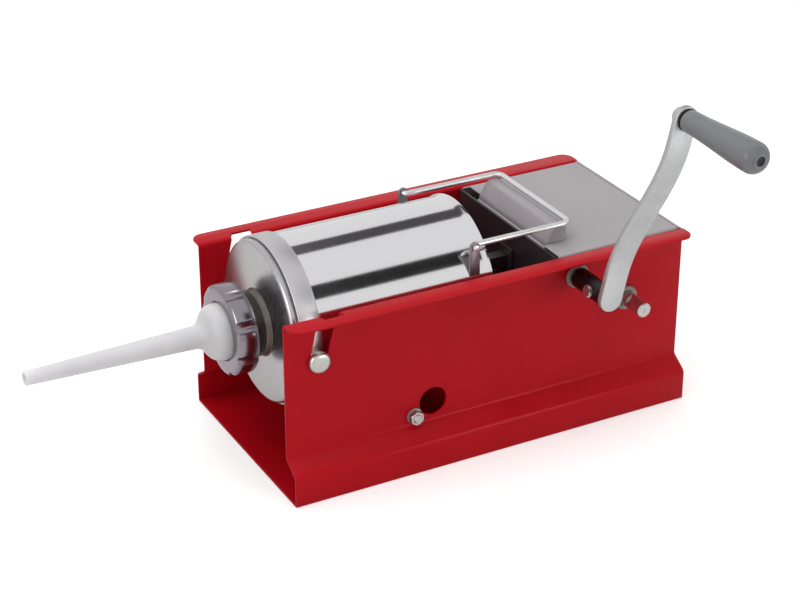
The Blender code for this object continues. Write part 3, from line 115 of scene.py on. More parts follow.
for name, place, aim, size, power in (
        ("overhead_light", (-0.1, 0.20, 1.7), (0.0, 0.0, 0.1), (2.6, 2.2), 32.0),
        ("left_light", (-2.1, -0.6, 1.0), (-0.1, 0.0, 0.1), (1.2, 1.2), 13.0),
        ("right_light", (0.85, -1.75, 0.34), (-0.1, 0.0, 0.1), (0.9, 0.6), 9.4)):
    lamp_data = bpy.data.lights.new(name, "AREA")
    lamp_data.shape = "RECTANGLE"
    lamp_data.size, lamp_data.size_y = size
    lamp_data.energy = power
    lamp = bpy.data.objects.new(name, lamp_data)
    lamp.visible_glossy = name != "overhead_light"      # polished steel shows the plain studio above it
    lamp.location = place
    lamp.rotation_euler = (Vector(aim) - Vector(place)).to_track_quat("-Z", "Y").to_euler()
    scene.collection.objects.link(lamp)

bpy.ops.object.select_all(action="DESELECT")
bpy.ops.mesh.primitive_plane_add(size=12.0, location=(0, 0, -0.0004))
floor = bpy.context.object
floor.name = "floor"
floor_finish, tree, shader = start_material("pale_floor", FLOOR_HEX, 0.75)
rays = add_node(tree, "ShaderNodeLightPath")
lift = add_node(tree, "ShaderNodeMath", operation="MULTIPLY", sockets={1: SHADOW_LIFT},
                links={0: rays.outputs["Is Camera Ray"]})
shader.inputs["Emission Color"].default_value = (1.0, 1.0, 1.0, 1.0)
tree.links.new(lift.outputs[0], shader.inputs["Emission Strength"])
floor.data.materials.append(floor_finish)

BOARD_X, BOARD_Z = 0.62, 0.128      # along the cylinder, and the height of its axis
BOARD_LENGTH = 0.94
board_black = start_material("black_board", "050505", 0.9)[0]
board_grey = start_material("grey_board", "4C4A4C", 0.9)[0]
for name, paper, angle, distance, width in (("upper_board", board_grey, 63, 0.9, 0.30),
                                            ("lower_board", board_black, 130.5, 1.0, 0.34)):
    # The angle goes from +Y about the cylinder's axis
    turn = math.radians(angle)
    bpy.ops.object.select_all(action="DESELECT")
    board_place = (BOARD_X, distance * math.cos(turn), BOARD_Z + distance * math.sin(turn))
    bpy.ops.mesh.primitive_plane_add(size=1.0, location=board_place, rotation=(turn + math.pi / 2, 0, 0))
    board = bpy.context.object
    board.name = name
    board.scale = (BOARD_LENGTH, width, 1.0)
    board.data.materials.append(paper)
    board.visible_camera = False
    board.visible_diffuse = False
    board.visible_shadow = False
    board.visible_transmission = False

# Frame. Two side panels, each one sheet of 2 mm steel folded to a skirt, a sloping band, the panel and
# an outward flange. Punched, bent and spot-welded to the floor sheet, then powder coated gloss red.
FRONT, REAR = (corner.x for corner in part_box("near_side_panel"))
SHEET = 0.002
FOLD = 0.0026
FIT = 0.0003                # gap between touching pieces
PANEL_OUT = 0.089           # outer face of a side panel, from the machine's middle
PANEL_Y = 0.088             # middle of its sheet
SKIRT_Y, SKIRT_TOP = 0.105, 0.0285
BAND_TOP = 0.0395
FLANGE_EDGE, FLANGE_Z, FLANGE_CORNER = 0.1087, 0.169, 0.011
HAND_HOLE_X, HAND_HOLE_Z, HAND_HOLE_R = 0.1436, 0.059, 0.0136
ROD_X, ROD_Z, ROD_HOLE_R = 0.1245, 0.0492, 0.0043
BUSH_HOLE_R = 0.0104
TRUNNION_X, SLOT_R = 0.0318, 0.008
NOTCH_END = 0.096
RED_HEX = "B20B1B"
RED_DEEP_HEX = "9E0914"


def middle(node):
    """The middle of a CAD node's box."""
    low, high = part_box(node)
    return (low + high) / 2


AXIS_Z = middle("cylinder_tube").z
SLOW_SHAFT = (middle("near_slow_bush").x, middle("near_slow_bush").z)
FAST_SHAFT = (middle("near_fast_bush").x, middle("near_fast_bush").z)


def start_piece(name, first):
    """A new mesh in edit mode: one point at its first place."""
    bpy.ops.object.select_all(action="DESELECT")
    bpy.ops.mesh.primitive_plane_add(size=0.01)
    piece = bpy.context.object
    piece.name = name
    piece.data.name = name
    bpy.ops.object.mode_set(mode="EDIT")
    bpy.ops.mesh.select_mode(type="VERT")
    bpy.ops.mesh.select_all(action="SELECT")
    bpy.ops.mesh.merge(type="CENTER")
    bpy.ops.transform.translate(value=first)
    return piece


def draw_line(points):
    """Draws the point out along a line of points."""
    for before, after in zip(points, points[1:]):
        bpy.ops.mesh.extrude_region_move(TRANSFORM_OT_translate={"value": Vector(after) - Vector(before)})


def choose(piece, verts=None, edges=None, faces=None):
    """Selects by a test, in edit mode, and nothing else."""
    mode = "VERT" if verts else "EDGE" if edges else "FACE"
    bpy.ops.mesh.select_mode(type=mode)
    bpy.ops.mesh.select_all(action="DESELECT")
    shape = bmesh.from_edit_mesh(piece.data)
    group, test = (shape.verts, verts) if verts else (shape.edges, edges) if edges else (shape.faces, faces)
    for item in group:
        item.select_set(bool(test(item)))
    shape.select_flush_mode()
    bmesh.update_edit_mesh(piece.data)


def apply_all(piece):
    """Applies the piece's modifiers in their order."""
    bpy.context.view_layer.objects.active = piece
    for name in [m.name for m in piece.modifiers]:
        bpy.ops.object.modifier_apply(modifier=name)


def round_edges(piece, width, segments=2, angle=35):
    """A small bevel on the sharp edges."""
    bevel = piece.modifiers.new("edges", "BEVEL")
    bevel.width = width
    bevel.segments = segments
    bevel.limit_method = "ANGLE"
    bevel.angle_limit = math.radians(angle)
    apply_all(piece)


def face_out(piece):
    """Merges doubles and turns the faces outwards."""
    bpy.context.view_layer.objects.active = piece
    bpy.ops.object.mode_set(mode="EDIT")
    bpy.ops.mesh.select_all(action="SELECT")
    bpy.ops.mesh.remove_doubles(threshold=0.000002)
    bpy.ops.mesh.normals_make_consistent(inside=False)
    bpy.ops.object.mode_set(mode="OBJECT")


def hand_over(piece, finish, body, slot, *nodes):
    """Shading, material, and the part that the piece belongs to."""
    bpy.ops.object.select_all(action="DESELECT")
    piece.select_set(True)
    bpy.context.view_layer.objects.active = piece
    bpy.ops.object.shade_smooth_by_angle(angle=math.radians(35))
    piece.data.materials.clear()
    piece.data.materials.append(finish)
    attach(piece, body)
    if nodes:
        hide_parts(*nodes)


def cut_with(piece, cutter, operation="DIFFERENCE"):
    """Cuts the piece with a cutter and removes the cutter."""
    step = piece.modifiers.new("cut", "BOOLEAN")
    step.operation = operation
    step.solver = "EXACT"
    step.object = cutter
    apply_all(piece)
    bpy.data.objects.remove(cutter)


def drill(piece, centre, radius, length, axis="Y", vertices=64):
    """A round hole of that length, centred on a point."""
    turn = {"X": (0, math.pi / 2, 0), "Y": (math.pi / 2, 0, 0), "Z": (0, 0, 0)}[axis]
    bpy.ops.object.select_all(action="DESELECT")
    bpy.ops.mesh.primitive_cylinder_add(vertices=vertices, radius=radius, depth=length, location=centre,
                                        rotation=turn)
    cut_with(piece, bpy.context.object)


def prism(name, outline, thickness):
    """A flat piece: its outline drawn point by point, filled, and drawn out by a vector."""
    piece = start_piece(name, outline[0])
    draw_line(outline)
    bpy.ops.mesh.select_all(action="SELECT")
    bpy.ops.mesh.edge_face_add()
    bpy.ops.mesh.extrude_region_move(TRANSFORM_OT_translate={"value": thickness})
    bpy.ops.object.mode_set(mode="OBJECT")
    face_out(piece)
    return piece


def arc_points(centre, radius, start, end, steps):
    """Points on an arc in a plane, angles in degrees."""
    turns = [math.radians(start + (end - start) * i / steps) for i in range(steps + 1)]
    return [(centre[0] + radius * math.cos(t), centre[1] + radius * math.sin(t)) for t in turns]


def folded_sheet(name, corners, run, thickness, fold):
    """A sheet drawn along its corners, run out by a vector, its folds rounded, and given its thickness."""
    piece = start_piece(name, corners[0])
    draw_line(corners)
    bpy.ops.mesh.select_all(action="SELECT")
    bpy.ops.mesh.extrude_region_move(TRANSFORM_OT_translate={"value": run})
    way = Vector(run).normalized()
    choose(piece, edges=lambda e: len(e.link_faces) == 2
           and abs((e.verts[0].co - e.verts[1].co).normalized().dot(way)) > 0.99)
    bpy.ops.mesh.bevel(offset=fold, segments=5, affect="EDGES")
    bpy.ops.mesh.select_all(action="SELECT")
    bpy.ops.mesh.normals_make_consistent(inside=False)
    bpy.ops.object.mode_set(mode="OBJECT")
    solid = piece.modifiers.new("thickness", "SOLIDIFY")
    solid.thickness = thickness
    solid.offset = 0
    solid.use_even_offset = True
    return piece


def add_noise(tree, scale, detail, rough=0.5):
    """A noise in object space, its scale in waves per metre. Returns its output."""
    place = add_node(tree, "ShaderNodeTexCoord")
    noise = add_node(tree, "ShaderNodeTexNoise", sockets={"Scale": scale, "Detail": detail, "Roughness": rough},
                     links={"Vector": place.outputs["Object"]})
    return noise.outputs[0]


def vary_gloss(tree, shader, pattern, low, high):
    """A roughness that goes with a pattern from low to high."""
    gloss = add_node(tree, "ShaderNodeMapRange", sockets={"To Min": low, "To Max": high}, links={"Value": pattern})
    tree.links.new(gloss.outputs[0], shader.inputs["Roughness"])


def vary_colour(tree, shader, pattern, one, two):
    """A base colour that goes with a pattern from one hex value to another."""
    mix = add_node(tree, "ShaderNodeMix", data_type="RGBA", links={0: pattern})
    mix.inputs[6].default_value = hex_colour(one)
    mix.inputs[7].default_value = hex_colour(two)
    tree.links.new(mix.outputs[2], shader.inputs["Base Color"])


def add_relief(tree, shader, pattern, strength, depth):
    """A fine bump from a pattern."""
    bump = add_node(tree, "ShaderNodeBump", sockets={"Strength": strength, "Distance": depth},
                    links={"Height": pattern})
    tree.links.new(bump.outputs[0], shader.inputs["Normal"])


def dress(finish, *names):
    """Gives nodes that are carried over from the CAD their finish."""
    for name in names:
        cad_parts[name].data.materials.clear()
        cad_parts[name].data.materials.append(finish)


# Powder coat over steel: sprayed powder melts to a gloss film with a faint orange-peel ripple, about
# 2 mm from crest to crest, and a slightly uneven shade.
red_coat, tree, shader = start_material("powder_coat_gloss_red", RED_HEX, 0.30)
shader.inputs["Specular IOR Level"].default_value = 0.10
vary_colour(tree, shader, add_noise(tree, 14.0, 3.0), RED_HEX, RED_DEEP_HEX)
peel = add_noise(tree, 480.0, 1.5)
vary_gloss(tree, shader, peel, 0.26, 0.36)
add_relief(tree, shader, peel, 0.22, 0.0003)

for word, side in (("near", -1), ("far", 1)):
    corners = [(FRONT, side * y, z) for y, z in ((SKIRT_Y, 0.0), (SKIRT_Y, SKIRT_TOP), (PANEL_Y, BAND_TOP),
                                                 (PANEL_Y, FLANGE_Z), (FLANGE_EDGE, FLANGE_Z))]
    panel = folded_sheet(f"{word}_side_sheet", corners, (REAR - FRONT, 0, 0), SHEET, FOLD)
    bpy.context.view_layer.objects.active = panel
    bpy.ops.object.mode_set(mode="EDIT")
    choose(panel, verts=lambda v: abs(abs(v.co.y) - FLANGE_EDGE) < 0.0002 and abs(abs(v.co.x) - REAR) < 0.0002)
    bpy.ops.mesh.bevel(offset=FLANGE_CORNER, segments=8, affect="VERTICES")
    bpy.ops.object.mode_set(mode="OBJECT")
    apply_all(panel)
    face_out(panel)
    round_edges(panel, 0.0005)
    for x, z, radius in ((FRONT + HAND_HOLE_X, HAND_HOLE_Z, HAND_HOLE_R), (FRONT + ROD_X, ROD_Z, ROD_HOLE_R),
                         (*SLOW_SHAFT, BUSH_HOLE_R), (*FAST_SHAFT, BUSH_HOLE_R)):
        drill(panel, (x, side * PANEL_Y, z), radius, 0.012)
    # The slot leans back and its edges run apart. It goes on into the flange, just past the pin's head.
    pin = (FRONT + TRUNNION_X, AXIS_Z)
    outline = [(x, side * 0.084, z) for x, z in arc_points(pin, SLOT_R, 167, 344, 20)]
    outline += [(pin[0] + 0.0205, side * 0.084, 0.1712), (pin[0] + 0.0015, side * 0.084, 0.1712)]
    cut_with(panel, prism("slot_cutter", outline, (0, side * 0.008, 0)))
    outline = [(pin[0] + along, side * y, 0.1640) for along, y in ((0.0012, 0.084), (0.0203, 0.084),
                                                                   (0.0226, NOTCH_END), (0.0034, NOTCH_END))]
    cut_with(panel, prism("notch_cutter", outline, (0, 0, 0.010)))
    face_out(panel)
    hand_over(panel, red_coat, "frame", "red_paint", f"{word}_side_panel")

dress(red_coat, "base_plate", "rear_panel")

# Gear cover. One tray of 1.5 mm steel dropped between the panels over the gears, and an angle that
# closes it at the rear. Coated in a fine satin grey.
GREY_HEX = "979395"
grey_coat, tree, shader = start_material("powder_coat_satin_grey", GREY_HEX, 0.46)
grit = add_noise(tree, 1500.0, 2.0)
tone = add_node(tree, "ShaderNodeMapRange", sockets={"To Min": 0.94, "To Max": 1.06}, links={"Value": grit})
mix = add_node(tree, "ShaderNodeMix", data_type="RGBA", blend_type="MULTIPLY", sockets={0: 1.0},
               links={7: tone.outputs[0]})
mix.inputs[6].default_value = hex_colour(GREY_HEX)
tree.links.new(mix.outputs[2], shader.inputs["Base Color"])
add_relief(tree, shader, grit, 0.25, 0.0002)
COVER_SHEET = 0.0015
COVER_FRONT = FRONT + 0.2723
COVER_LENGTH = 0.1274
COVER_Z, COVER_LOW = 0.16925, 0.159
STEP, STEP_Y = 0.0067, 0.0608
half = PANEL_OUT - SHEET - FIT - COVER_SHEET / 2
corners = [(COVER_FRONT, y, z) for y, z in ((-half, COVER_LOW), (-half, COVER_Z), (half, COVER_Z),
                                            (half, COVER_LOW))]
cover = folded_sheet("gear_cover", corners, (COVER_LENGTH, 0, 0), COVER_SHEET, 0.0022)
apply_all(cover)
face_out(cover)
# From its near front corner to the far skirt the edge steps back, round the bracket
outline = [(COVER_FRONT + along, y, 0.160) for along, y in ((-0.001, -STEP_Y), (STEP, -STEP_Y), (STEP, 0.0830),
                                                            (-0.001, 0.0830))]
cut_with(cover, prism("step_cutter", outline, (0, 0, 0.020)))
face_out(cover)
round_edges(cover, 0.0004)
hand_over(cover, grey_coat, "frame", "grey_paint", "top_cover")
dress(grey_coat, "cover_rear_angle")

# Bulkhead. The wall in front of the gears, 2 mm steel in black, with nylon guides for the rack
# in its window and in the rear panel's.
black_coat, tree, shader = start_material("powder_coat_black", "352C30", 0.46)
vary_gloss(tree, shader, add_noise(tree, 480.0, 2.0), 0.36, 0.50)
nylon, tree, shader = start_material("nylon_moulded_dark", "7F7671", 0.45)
shader.inputs["Subsurface Weight"].default_value = 0.15
shader.inputs["Subsurface Radius"].default_value = (0.002, 0.0018, 0.0014)
vary_gloss(tree, shader, add_noise(tree, 90.0, 3.0), 0.38, 0.52)
dress(black_coat, "gear_bulkhead", "front_rack_guide")
dress(nylon, "rear_rack_guide")

# Cylinder. A stainless tube of 149 mm, polished to a mirror with very fine lines round it, and a
# satin band shrunk on its front end that carries the trunnions.
TUBE_R = 0.0745
BORE_R = 0.0733
BAND_R = 0.0764


def turned(name, profile, centre, axis="X", steps=96, closed=True):
    """A turned piece: its profile of (along, radius) drawn point by point and spun about the axis."""
    centre = Vector(centre)
    if axis == "X":
        points = [centre + Vector((along, 0, radius)) for along, radius in profile]
    else:
        points = [centre + Vector((0, along, radius)) for along, radius in profile]
    piece = start_piece(name, points[0])
    draw_line(points)
    if closed:
        last = len(profile) - 1
        choose(piece, verts=lambda v: v.index in (0, last))
        bpy.ops.mesh.edge_face_add()
    bpy.ops.mesh.select_mode(type="VERT")
    bpy.ops.mesh.select_all(action="SELECT")
    way = (1, 0, 0) if axis == "X" else (0, 1, 0)
    bpy.ops.mesh.spin(steps=steps, angle=math.tau, center=centre, axis=way)
    bpy.ops.object.mode_set(mode="OBJECT")
    face_out(piece)
    return piece


def add_lines(tree, waves, detail):
    """A noise drawn out to fine lines, from its waves per metre along each axis. Returns its output."""
    place = add_node(tree, "ShaderNodeTexCoord")
    drawn = add_node(tree, "ShaderNodeMapping", sockets={"Scale": waves}, links={"Vector": place.outputs["Object"]})
    lines = add_node(tree, "ShaderNodeTexNoise", sockets={"Scale": 1.0, "Detail": detail},
                     links={"Vector": drawn.outputs[0]})
    return lines.outputs[0]


def add_rings(tree):
    """Tool marks round the cylinder's axis. Real ones are 0.2 mm apart, these 0.9 mm, so that they show."""
    place = add_node(tree, "ShaderNodeTexCoord")
    centred = add_node(tree, "ShaderNodeMapping", sockets={"Location": (0.0, 0.0, -AXIS_Z)},
                       links={"Vector": place.outputs["Object"]})
    marks = add_node(tree, "ShaderNodeTexWave", sockets={"Scale": 350.0, "Distortion": 1.2, "Detail": 2.0},
                     links={"Vector": centred.outputs[0]}, wave_type="RINGS", rings_direction="X")
    return marks.outputs[1]


mirror_steel, tree, shader = start_material("stainless_steel_polished", "E2E1E3", 0.10, 1.0)
lines = add_lines(tree, (1200.0, 12.0, 12.0), 4.0)
vary_gloss(tree, shader, lines, 0.07, 0.15)
add_relief(tree, shader, lines, 0.05, 0.0001)

satin_steel, tree, shader = start_material("stainless_steel_turned_satin", "CECBCE", 0.46, 1.0)
marks = add_rings(tree)
vary_gloss(tree, shader, marks, 0.42, 0.52)
add_relief(tree, shader, marks, 0.10, 0.0001)

fine_steel, tree, shader = start_material("stainless_steel_fine_turned", "BAB8BA", 0.16, 1.0)
vary_gloss(tree, shader, add_noise(tree, 22.0, 4.0, 0.6), 0.20, 0.32)
add_relief(tree, shader, add_rings(tree), 0.04, 0.0001)

axis_point = (FRONT, 0, AXIS_Z)
profile = [(0.0237, BORE_R), (0.0237, TUBE_R), (0.2065, TUBE_R), (0.2080, TUBE_R + 0.0002),
           (0.2100, TUBE_R + 0.0006), (0.2120, TUBE_R + 0.0010), (0.2136, TUBE_R + 0.0014),
           (0.2144, TUBE_R + 0.0014), (0.2147, TUBE_R + 0.0010), (0.2145, BORE_R + 0.0013),
           (0.2136, BORE_R + 0.0010), (0.2115, BORE_R + 0.0004), (0.2095, BORE_R)]
tube = turned("cylinder", profile, axis_point, steps=160)
hand_over(tube, mirror_steel, "frame", "polished_steel", "cylinder_tube")
profile = [(0.0237, 0.0748), (0.0237, 0.0757), (0.0241, 0.0762), (0.0248, BAND_R), (0.0418, BAND_R),
           (0.0426, 0.0761), (0.0431, 0.0756), (0.0432, 0.0748)]
band = turned("front_band", profile, axis_point, steps=160)
hand_over(band, satin_steel, "frame", "satin_steel", "cylinder_collar")

# Front cap. A turned steel disc with a rounded rim. Its spigot enters the tube against a rubber ring,
# and its spout is threaded for the ring nut.
rim = arc_points((0.0210, 0.0705), 0.0036, 180, 90, 8)
thread = []
for i in range(12):
    start = -0.0118 + i * 0.002
    thread += [(start, 0.0284), (start + 0.0007, 0.0295), (start + 0.0012, 0.0295), (start + 0.0019, 0.0284)]
profile = [(0.0277, 0.024), (-0.0125, 0.024), (-0.0125, 0.0280), *thread, (0.0138, 0.0295), (0.0164, 0.0298),
           (0.0171, 0.0303), (0.0174, 0.0312), *rim, (0.0219, 0.0741), (0.0219, 0.0730), (0.0277, 0.0730)]
cap = turned("end_cap", profile, axis_point, steps=128)
hand_over(cap, fine_steel, "frame", "satin_steel", "front_cap")
# The spout's thread under the nut takes a darker steel: painted shade, where the nut and the cap shade it.
thread_painted_shade, tree, shader = start_material("steel_thread_painted_shade", "6B6765", 0.38, 0.9)
film = add_noise(tree, 110.0, 4.0)
vary_gloss(tree, shader, film, 0.28, 0.50)
vary_colour(tree, shader, film, "56514F", "827C76")
cap.data.materials.append(thread_painted_shade)
# The thread's faces under the nut take the darker steel of painted shade
for face in cap.data.polygons:
    offset = face.center - Vector(axis_point)
    if offset.x < 0.0173 and 0.0245 < math.hypot(offset.y, offset.z) < 0.0312:
        face.material_index = 1
rubber, tree, shader = start_material("rubber_moulded_black", "1B1B1C", 0.62)
vary_gloss(tree, shader, add_noise(tree, 300.0, 2.0), 0.55, 0.72)
silicone, tree, shader = start_material("silicone_moulded_grey", "6E6C6E", 0.55)
vary_gloss(tree, shader, add_noise(tree, 260.0, 2.0), 0.48, 0.64)
dress(silicone, "cap_gasket")
dress(rubber, "plunger_seal")

# Trunnions and bail ears. Zinc-plated steel: the trunnions are headed pins welded to the band, the
# ears are 2.5 mm plates welded upright on the tube.
zinc, tree, shader = start_material("steel_zinc_plated", "C4C4C0", 0.33, 1.0)
bloom = add_noise(tree, 160.0, 4.0, 0.6)
vary_gloss(tree, shader, bloom, 0.24, 0.44)
vary_colour(tree, shader, bloom, "CBCBC8", "B7B7B2")

# A darker, faintly purple zinc for the ears and the rod's washers: painted shade with a painted red reflection on
# the same plated steel.
zinc_painted_shade, tree, shader = start_material("steel_zinc_painted_shade", "8B868A", 0.5, 0.8)
bloom = add_noise(tree, 200.0, 4.0, 0.6)
vary_gloss(tree, shader, bloom, 0.42, 0.60)
vary_colour(tree, shader, bloom, "7A7478", "9C979B")
PIVOT_X, PIVOT_Z = FRONT + 0.197, 0.188
EAR_Y, EAR_SHEET = 0.0650, 0.0025
EAR_TOP_R, EAR_HALF_FOOT, EAR_HOLE_R = 0.0047, 0.00575, 0.0030

for word, side in (("near", -1), ("far", 1)):
    profile = [(side * y, r) for y, r in ((0.0700, 0.0), (0.0700, 0.0077), (0.0893, 0.0077), (0.0893, 0.0094),
                                          (0.0898, 0.0099), (0.0926, 0.0099), (0.0942, 0.0091), (0.0951, 0.0076),
                                          (0.0953, 0.0058), (0.0953, 0.0))]
    pin_place = (FRONT + TRUNNION_X, 0, AXIS_Z)
    pin = turned(f"{word}_trunnion_pin", profile, pin_place, "Y", 48, closed=False)
    drill(pin, pin_place, BAND_R + FIT, 0.06, "X", 160)
    hand_over(pin, zinc, "frame", "zinc_steel", f"{word}_trunnion")
    outline = [(x, side * EAR_Y, z) for x, z in arc_points((PIVOT_X, PIVOT_Z), EAR_TOP_R, 0, 180, 24)]
    outline += [(PIVOT_X + along, side * EAR_Y, AXIS_Z) for along in (-EAR_HALF_FOOT, EAR_HALF_FOOT)]
    plate = prism(f"{word}_ear_plate", outline, (0, side * EAR_SHEET, 0))
    drill(plate, (PIVOT_X, side * 0.066, PIVOT_Z), EAR_HOLE_R, 0.01, "Y", 32)
    drill(plate, (PIVOT_X, 0, AXIS_Z), TUBE_R + FIT, 0.06, "X", 160)
    round_edges(plate, 0.0003)
    hand_over(plate, zinc_painted_shade, "frame", "zinc_steel", f"{word}_bail_ear")

# Cradle rod. An 8 mm zinc-plated rod across the frame that the tube rests on, held by a washer and a
# nut at each end.


def hex_piece(name, centre, flats, start, length, axis="Y"):
    """A hexagon head or nut along an axis, its corners turned down to a chamfer."""
    place = Vector(centre)
    place[1 if axis == "Y" else 0] = start + length / 2
    turn = (math.pi / 2, 0, 0) if axis == "Y" else (0, math.pi / 2, 0)
    bpy.ops.object.select_all(action="DESELECT")
    bpy.ops.mesh.primitive_cylinder_add(vertices=6, radius=flats / math.sqrt(3), depth=abs(length),
                                        location=place, rotation=turn)
    piece = bpy.context.object
    piece.name = name
    bpy.ops.object.transform_apply(location=True, rotation=True, scale=True)
    bpy.ops.object.select_all(action="DESELECT")
    bpy.ops.mesh.primitive_cylinder_add(vertices=48, radius=flats / math.sqrt(3) * 1.002, depth=abs(length),
                                        location=place, rotation=turn)
    blank = bpy.context.object
    round_edges(blank, flats * 0.075, 1, 60)
    cut_with(piece, blank, "INTERSECT")
    bpy.context.view_layer.objects.active = piece
    return piece


rod_place = (FRONT + ROD_X, 0, ROD_Z)
ROD_END, ROD_R, ROD_CHAMFER = 0.0972, 0.0040, 0.0007
profile = [(-ROD_END, 0), (-ROD_END, ROD_R - ROD_CHAMFER), (-ROD_END + ROD_CHAMFER, ROD_R),
           (ROD_END - ROD_CHAMFER, ROD_R), (ROD_END, ROD_R - ROD_CHAMFER), (ROD_END, 0)]
rod = turned("cross_rod", profile, rod_place, "Y", 48, closed=False)
hand_over(rod, zinc, "frame", "zinc_steel", "cradle_rod")
for word, side in (("near", -1), ("far", 1)):
    profile = [(side * y, r) for y, r in ((0.0893, 0.0043), (0.0893, 0.0076), (0.0906, 0.0076), (0.0906, 0.0043))]
    washer = turned(f"{word}_rod_washer", profile, rod_place, "Y", 48)
    round_edges(washer, 0.0003)
    hand_over(washer, zinc_painted_shade, "frame", "zinc_steel", f"{word}_cradle_washer")
    nut = hex_piece(f"{word}_rod_nut", rod_place, 0.012, side * 0.0909, side * 0.0052)
    drill(nut, (rod_place[0], side * 0.094, rod_place[2]), 0.0043, 0.02, "Y", 32)
    hand_over(nut, zinc, "frame", "zinc_steel", f"{word}_cradle_nut")

# Ring nut. Cast aluminium, tumbled bright, with eight lobes for the hand. It screws on the spout and
# clamps the nozzle's flange under its lip.
cast_alloy, tree, shader = start_material("aluminium_cast_tumbled", "938C94", 0.20, 1.0)
skin = add_noise(tree, 260.0, 2.0)
vary_gloss(tree, shader, skin, 0.15, 0.25)
add_relief(tree, shader, skin, 0.08, 0.0003)
profile = [(-0.0159, 0.0298), (-0.0159, 0.0263), (-0.0180, 0.0263), (-0.0190, 0.0273), (-0.0190, 0.0372),
           (-0.0184, 0.0392), (-0.0171, 0.0405), (-0.0152, 0.0410), (-0.0020, 0.0410), (-0.0003, 0.0404),
           (0.0007, 0.0392), (0.0010, 0.0378), (0.0010, 0.0306), (0.0002, 0.0298)]
nut = turned("clamp_ring_nut", profile, axis_point, steps=120)
LOBES, LOBE_START, SCALLOP_AT, SCALLOP_R = 8, 18.5, 0.0433, 0.0062
for i in range(LOBES):
    turn = math.radians(LOBE_START + 360 / LOBES * i)
    scallop = (FRONT - 0.009, SCALLOP_AT * math.cos(turn), AXIS_Z + SCALLOP_AT * math.sin(turn))
    drill(nut, scallop, SCALLOP_R, 0.04, "X", 48)
face_out(nut)
round_edges(nut, 0.0009, 3)
hand_over(nut, cast_alloy, "ring_nut", "cast_aluminium", "ring_nut")

# Nozzle. One moulding of milky polyethylene: flange under the nut's lip, short domed mouth, neck and a
# long tube that tapers to its tip.
milky, tree, shader = start_material("polyethylene_moulded_milky", "DAD6DB", 0.36)
shader.inputs["Subsurface Weight"].default_value = 0.55
shader.inputs["Subsurface Radius"].default_value = (0.012, 0.011, 0.012)
shader.inputs["Subsurface Scale"].default_value = 1.0
haze = add_noise(tree, 60.0, 3.0)
vary_gloss(tree, shader, haze, 0.30, 0.44)
vary_colour(tree, shader, haze, "DFDBE0", "D2CED4")
outside = [(-0.0128, 0.0295), (-0.0156, 0.0295), (-0.0156, 0.0255), (-0.0208, 0.0255), (-0.0236, 0.0253),
           (-0.0263, 0.0247), (-0.0286, 0.0237), (-0.0306, 0.0223), (-0.0323, 0.0205), (-0.0339, 0.0184),
           (-0.0354, 0.0162), (-0.0370, 0.0142), (-0.0388, 0.0124), (-0.0409, 0.0111), (-0.0436, 0.0104),
           (-0.0506, 0.0101)]
NOZZLE_WALL = 0.0015
inside = [(along, radius - NOZZLE_WALL) for along, radius in reversed(outside[3:])]
tip = [(-0.1965, 0.0063), (-0.1972, 0.0060), (-0.1975, 0.0055), (-0.1972, 0.0050), (-0.1965, 0.0048)]
nozzle = turned("filling_nozzle", outside + tip + inside + [(-0.0128, 0.0240)], axis_point, steps=96)
hand_over(nozzle, milky, "nozzle", "white_plastic", "nozzle")

# Shafts and bushes. Bright steel shafts cross the frame in nylon bushes, coloured a dark grey-brown, with a flange
# outside. Each has a flat near its end for the crank's screw.
for word, side in (("near", -1), ("far", 1)):
    for speed, (x, z) in (("slow", SLOW_SHAFT), ("fast", FAST_SHAFT)):
        profile = [(side * y, r) for y, r in
                   ((0.0820, 0.0071), (0.0820, 0.0097), (0.0824, 0.0101), (0.0893, 0.0101), (0.0893, 0.0109),
                    (0.0899, 0.0115), (0.0917, 0.0115), (0.0923, 0.0109), (0.0923, 0.0078), (0.0916, 0.0071))]
        bush = turned(f"{word}_{speed}_flanged_bush", profile, (x, 0, z), "Y", 64)
        hand_over(bush, nylon, "frame", "nylon", f"{word}_{speed}_bush")
FAR_END = 0.0976
for speed, (x, z), near_end, lean, body in (("slow", SLOW_SHAFT, -0.1397, 13, "crank"),
                                            ("fast", FAST_SHAFT, -0.1210, 45, "fast_drive")):
    profile = [(near_end + 0.0022, 0), (near_end + 0.0004, 0.0014), (near_end, 0.0016), (near_end, 0.0062),
               (near_end + 0.0008, 0.0070), (FAR_END - 0.0050, 0.0070), (FAR_END - 0.0050, 0.0062),
               (FAR_END - 0.0030, 0.0062), (FAR_END - 0.0030, 0.0070), (FAR_END - 0.0008, 0.0070),
               (FAR_END, 0.0062), (FAR_END, 0)]
    shaft = turned(f"{speed}_shaft_bar", profile, (x, 0, z), "Y", 64, closed=False)
    way = Vector((-math.cos(math.radians(lean)), 0, math.sin(math.radians(lean))))
    bpy.ops.object.select_all(action="DESELECT")
    bpy.ops.mesh.primitive_cube_add(size=1.0, location=Vector((x, near_end + 0.015, z)) + way * 0.0124,
                                    rotation=(0, math.radians(lean), 0), scale=(0.014, 0.010, 0.028))
    cut_with(shaft, bpy.context.object)
    hand_over(shaft, zinc, body, "zinc_steel", f"{speed}_shaft")

# Gear train. Hobbed steel gears, the large one darkened by oil, on spacer tubes and retaining rings.
# They sit behind the bulkhead, so their solids are kept as they are.
gear_steel, tree, shader = start_material("steel_hobbed_oiled", "8E8B88", 0.34, 1.0)
vary_gloss(tree, shader, add_noise(tree, 120.0, 4.0), 0.24, 0.48)
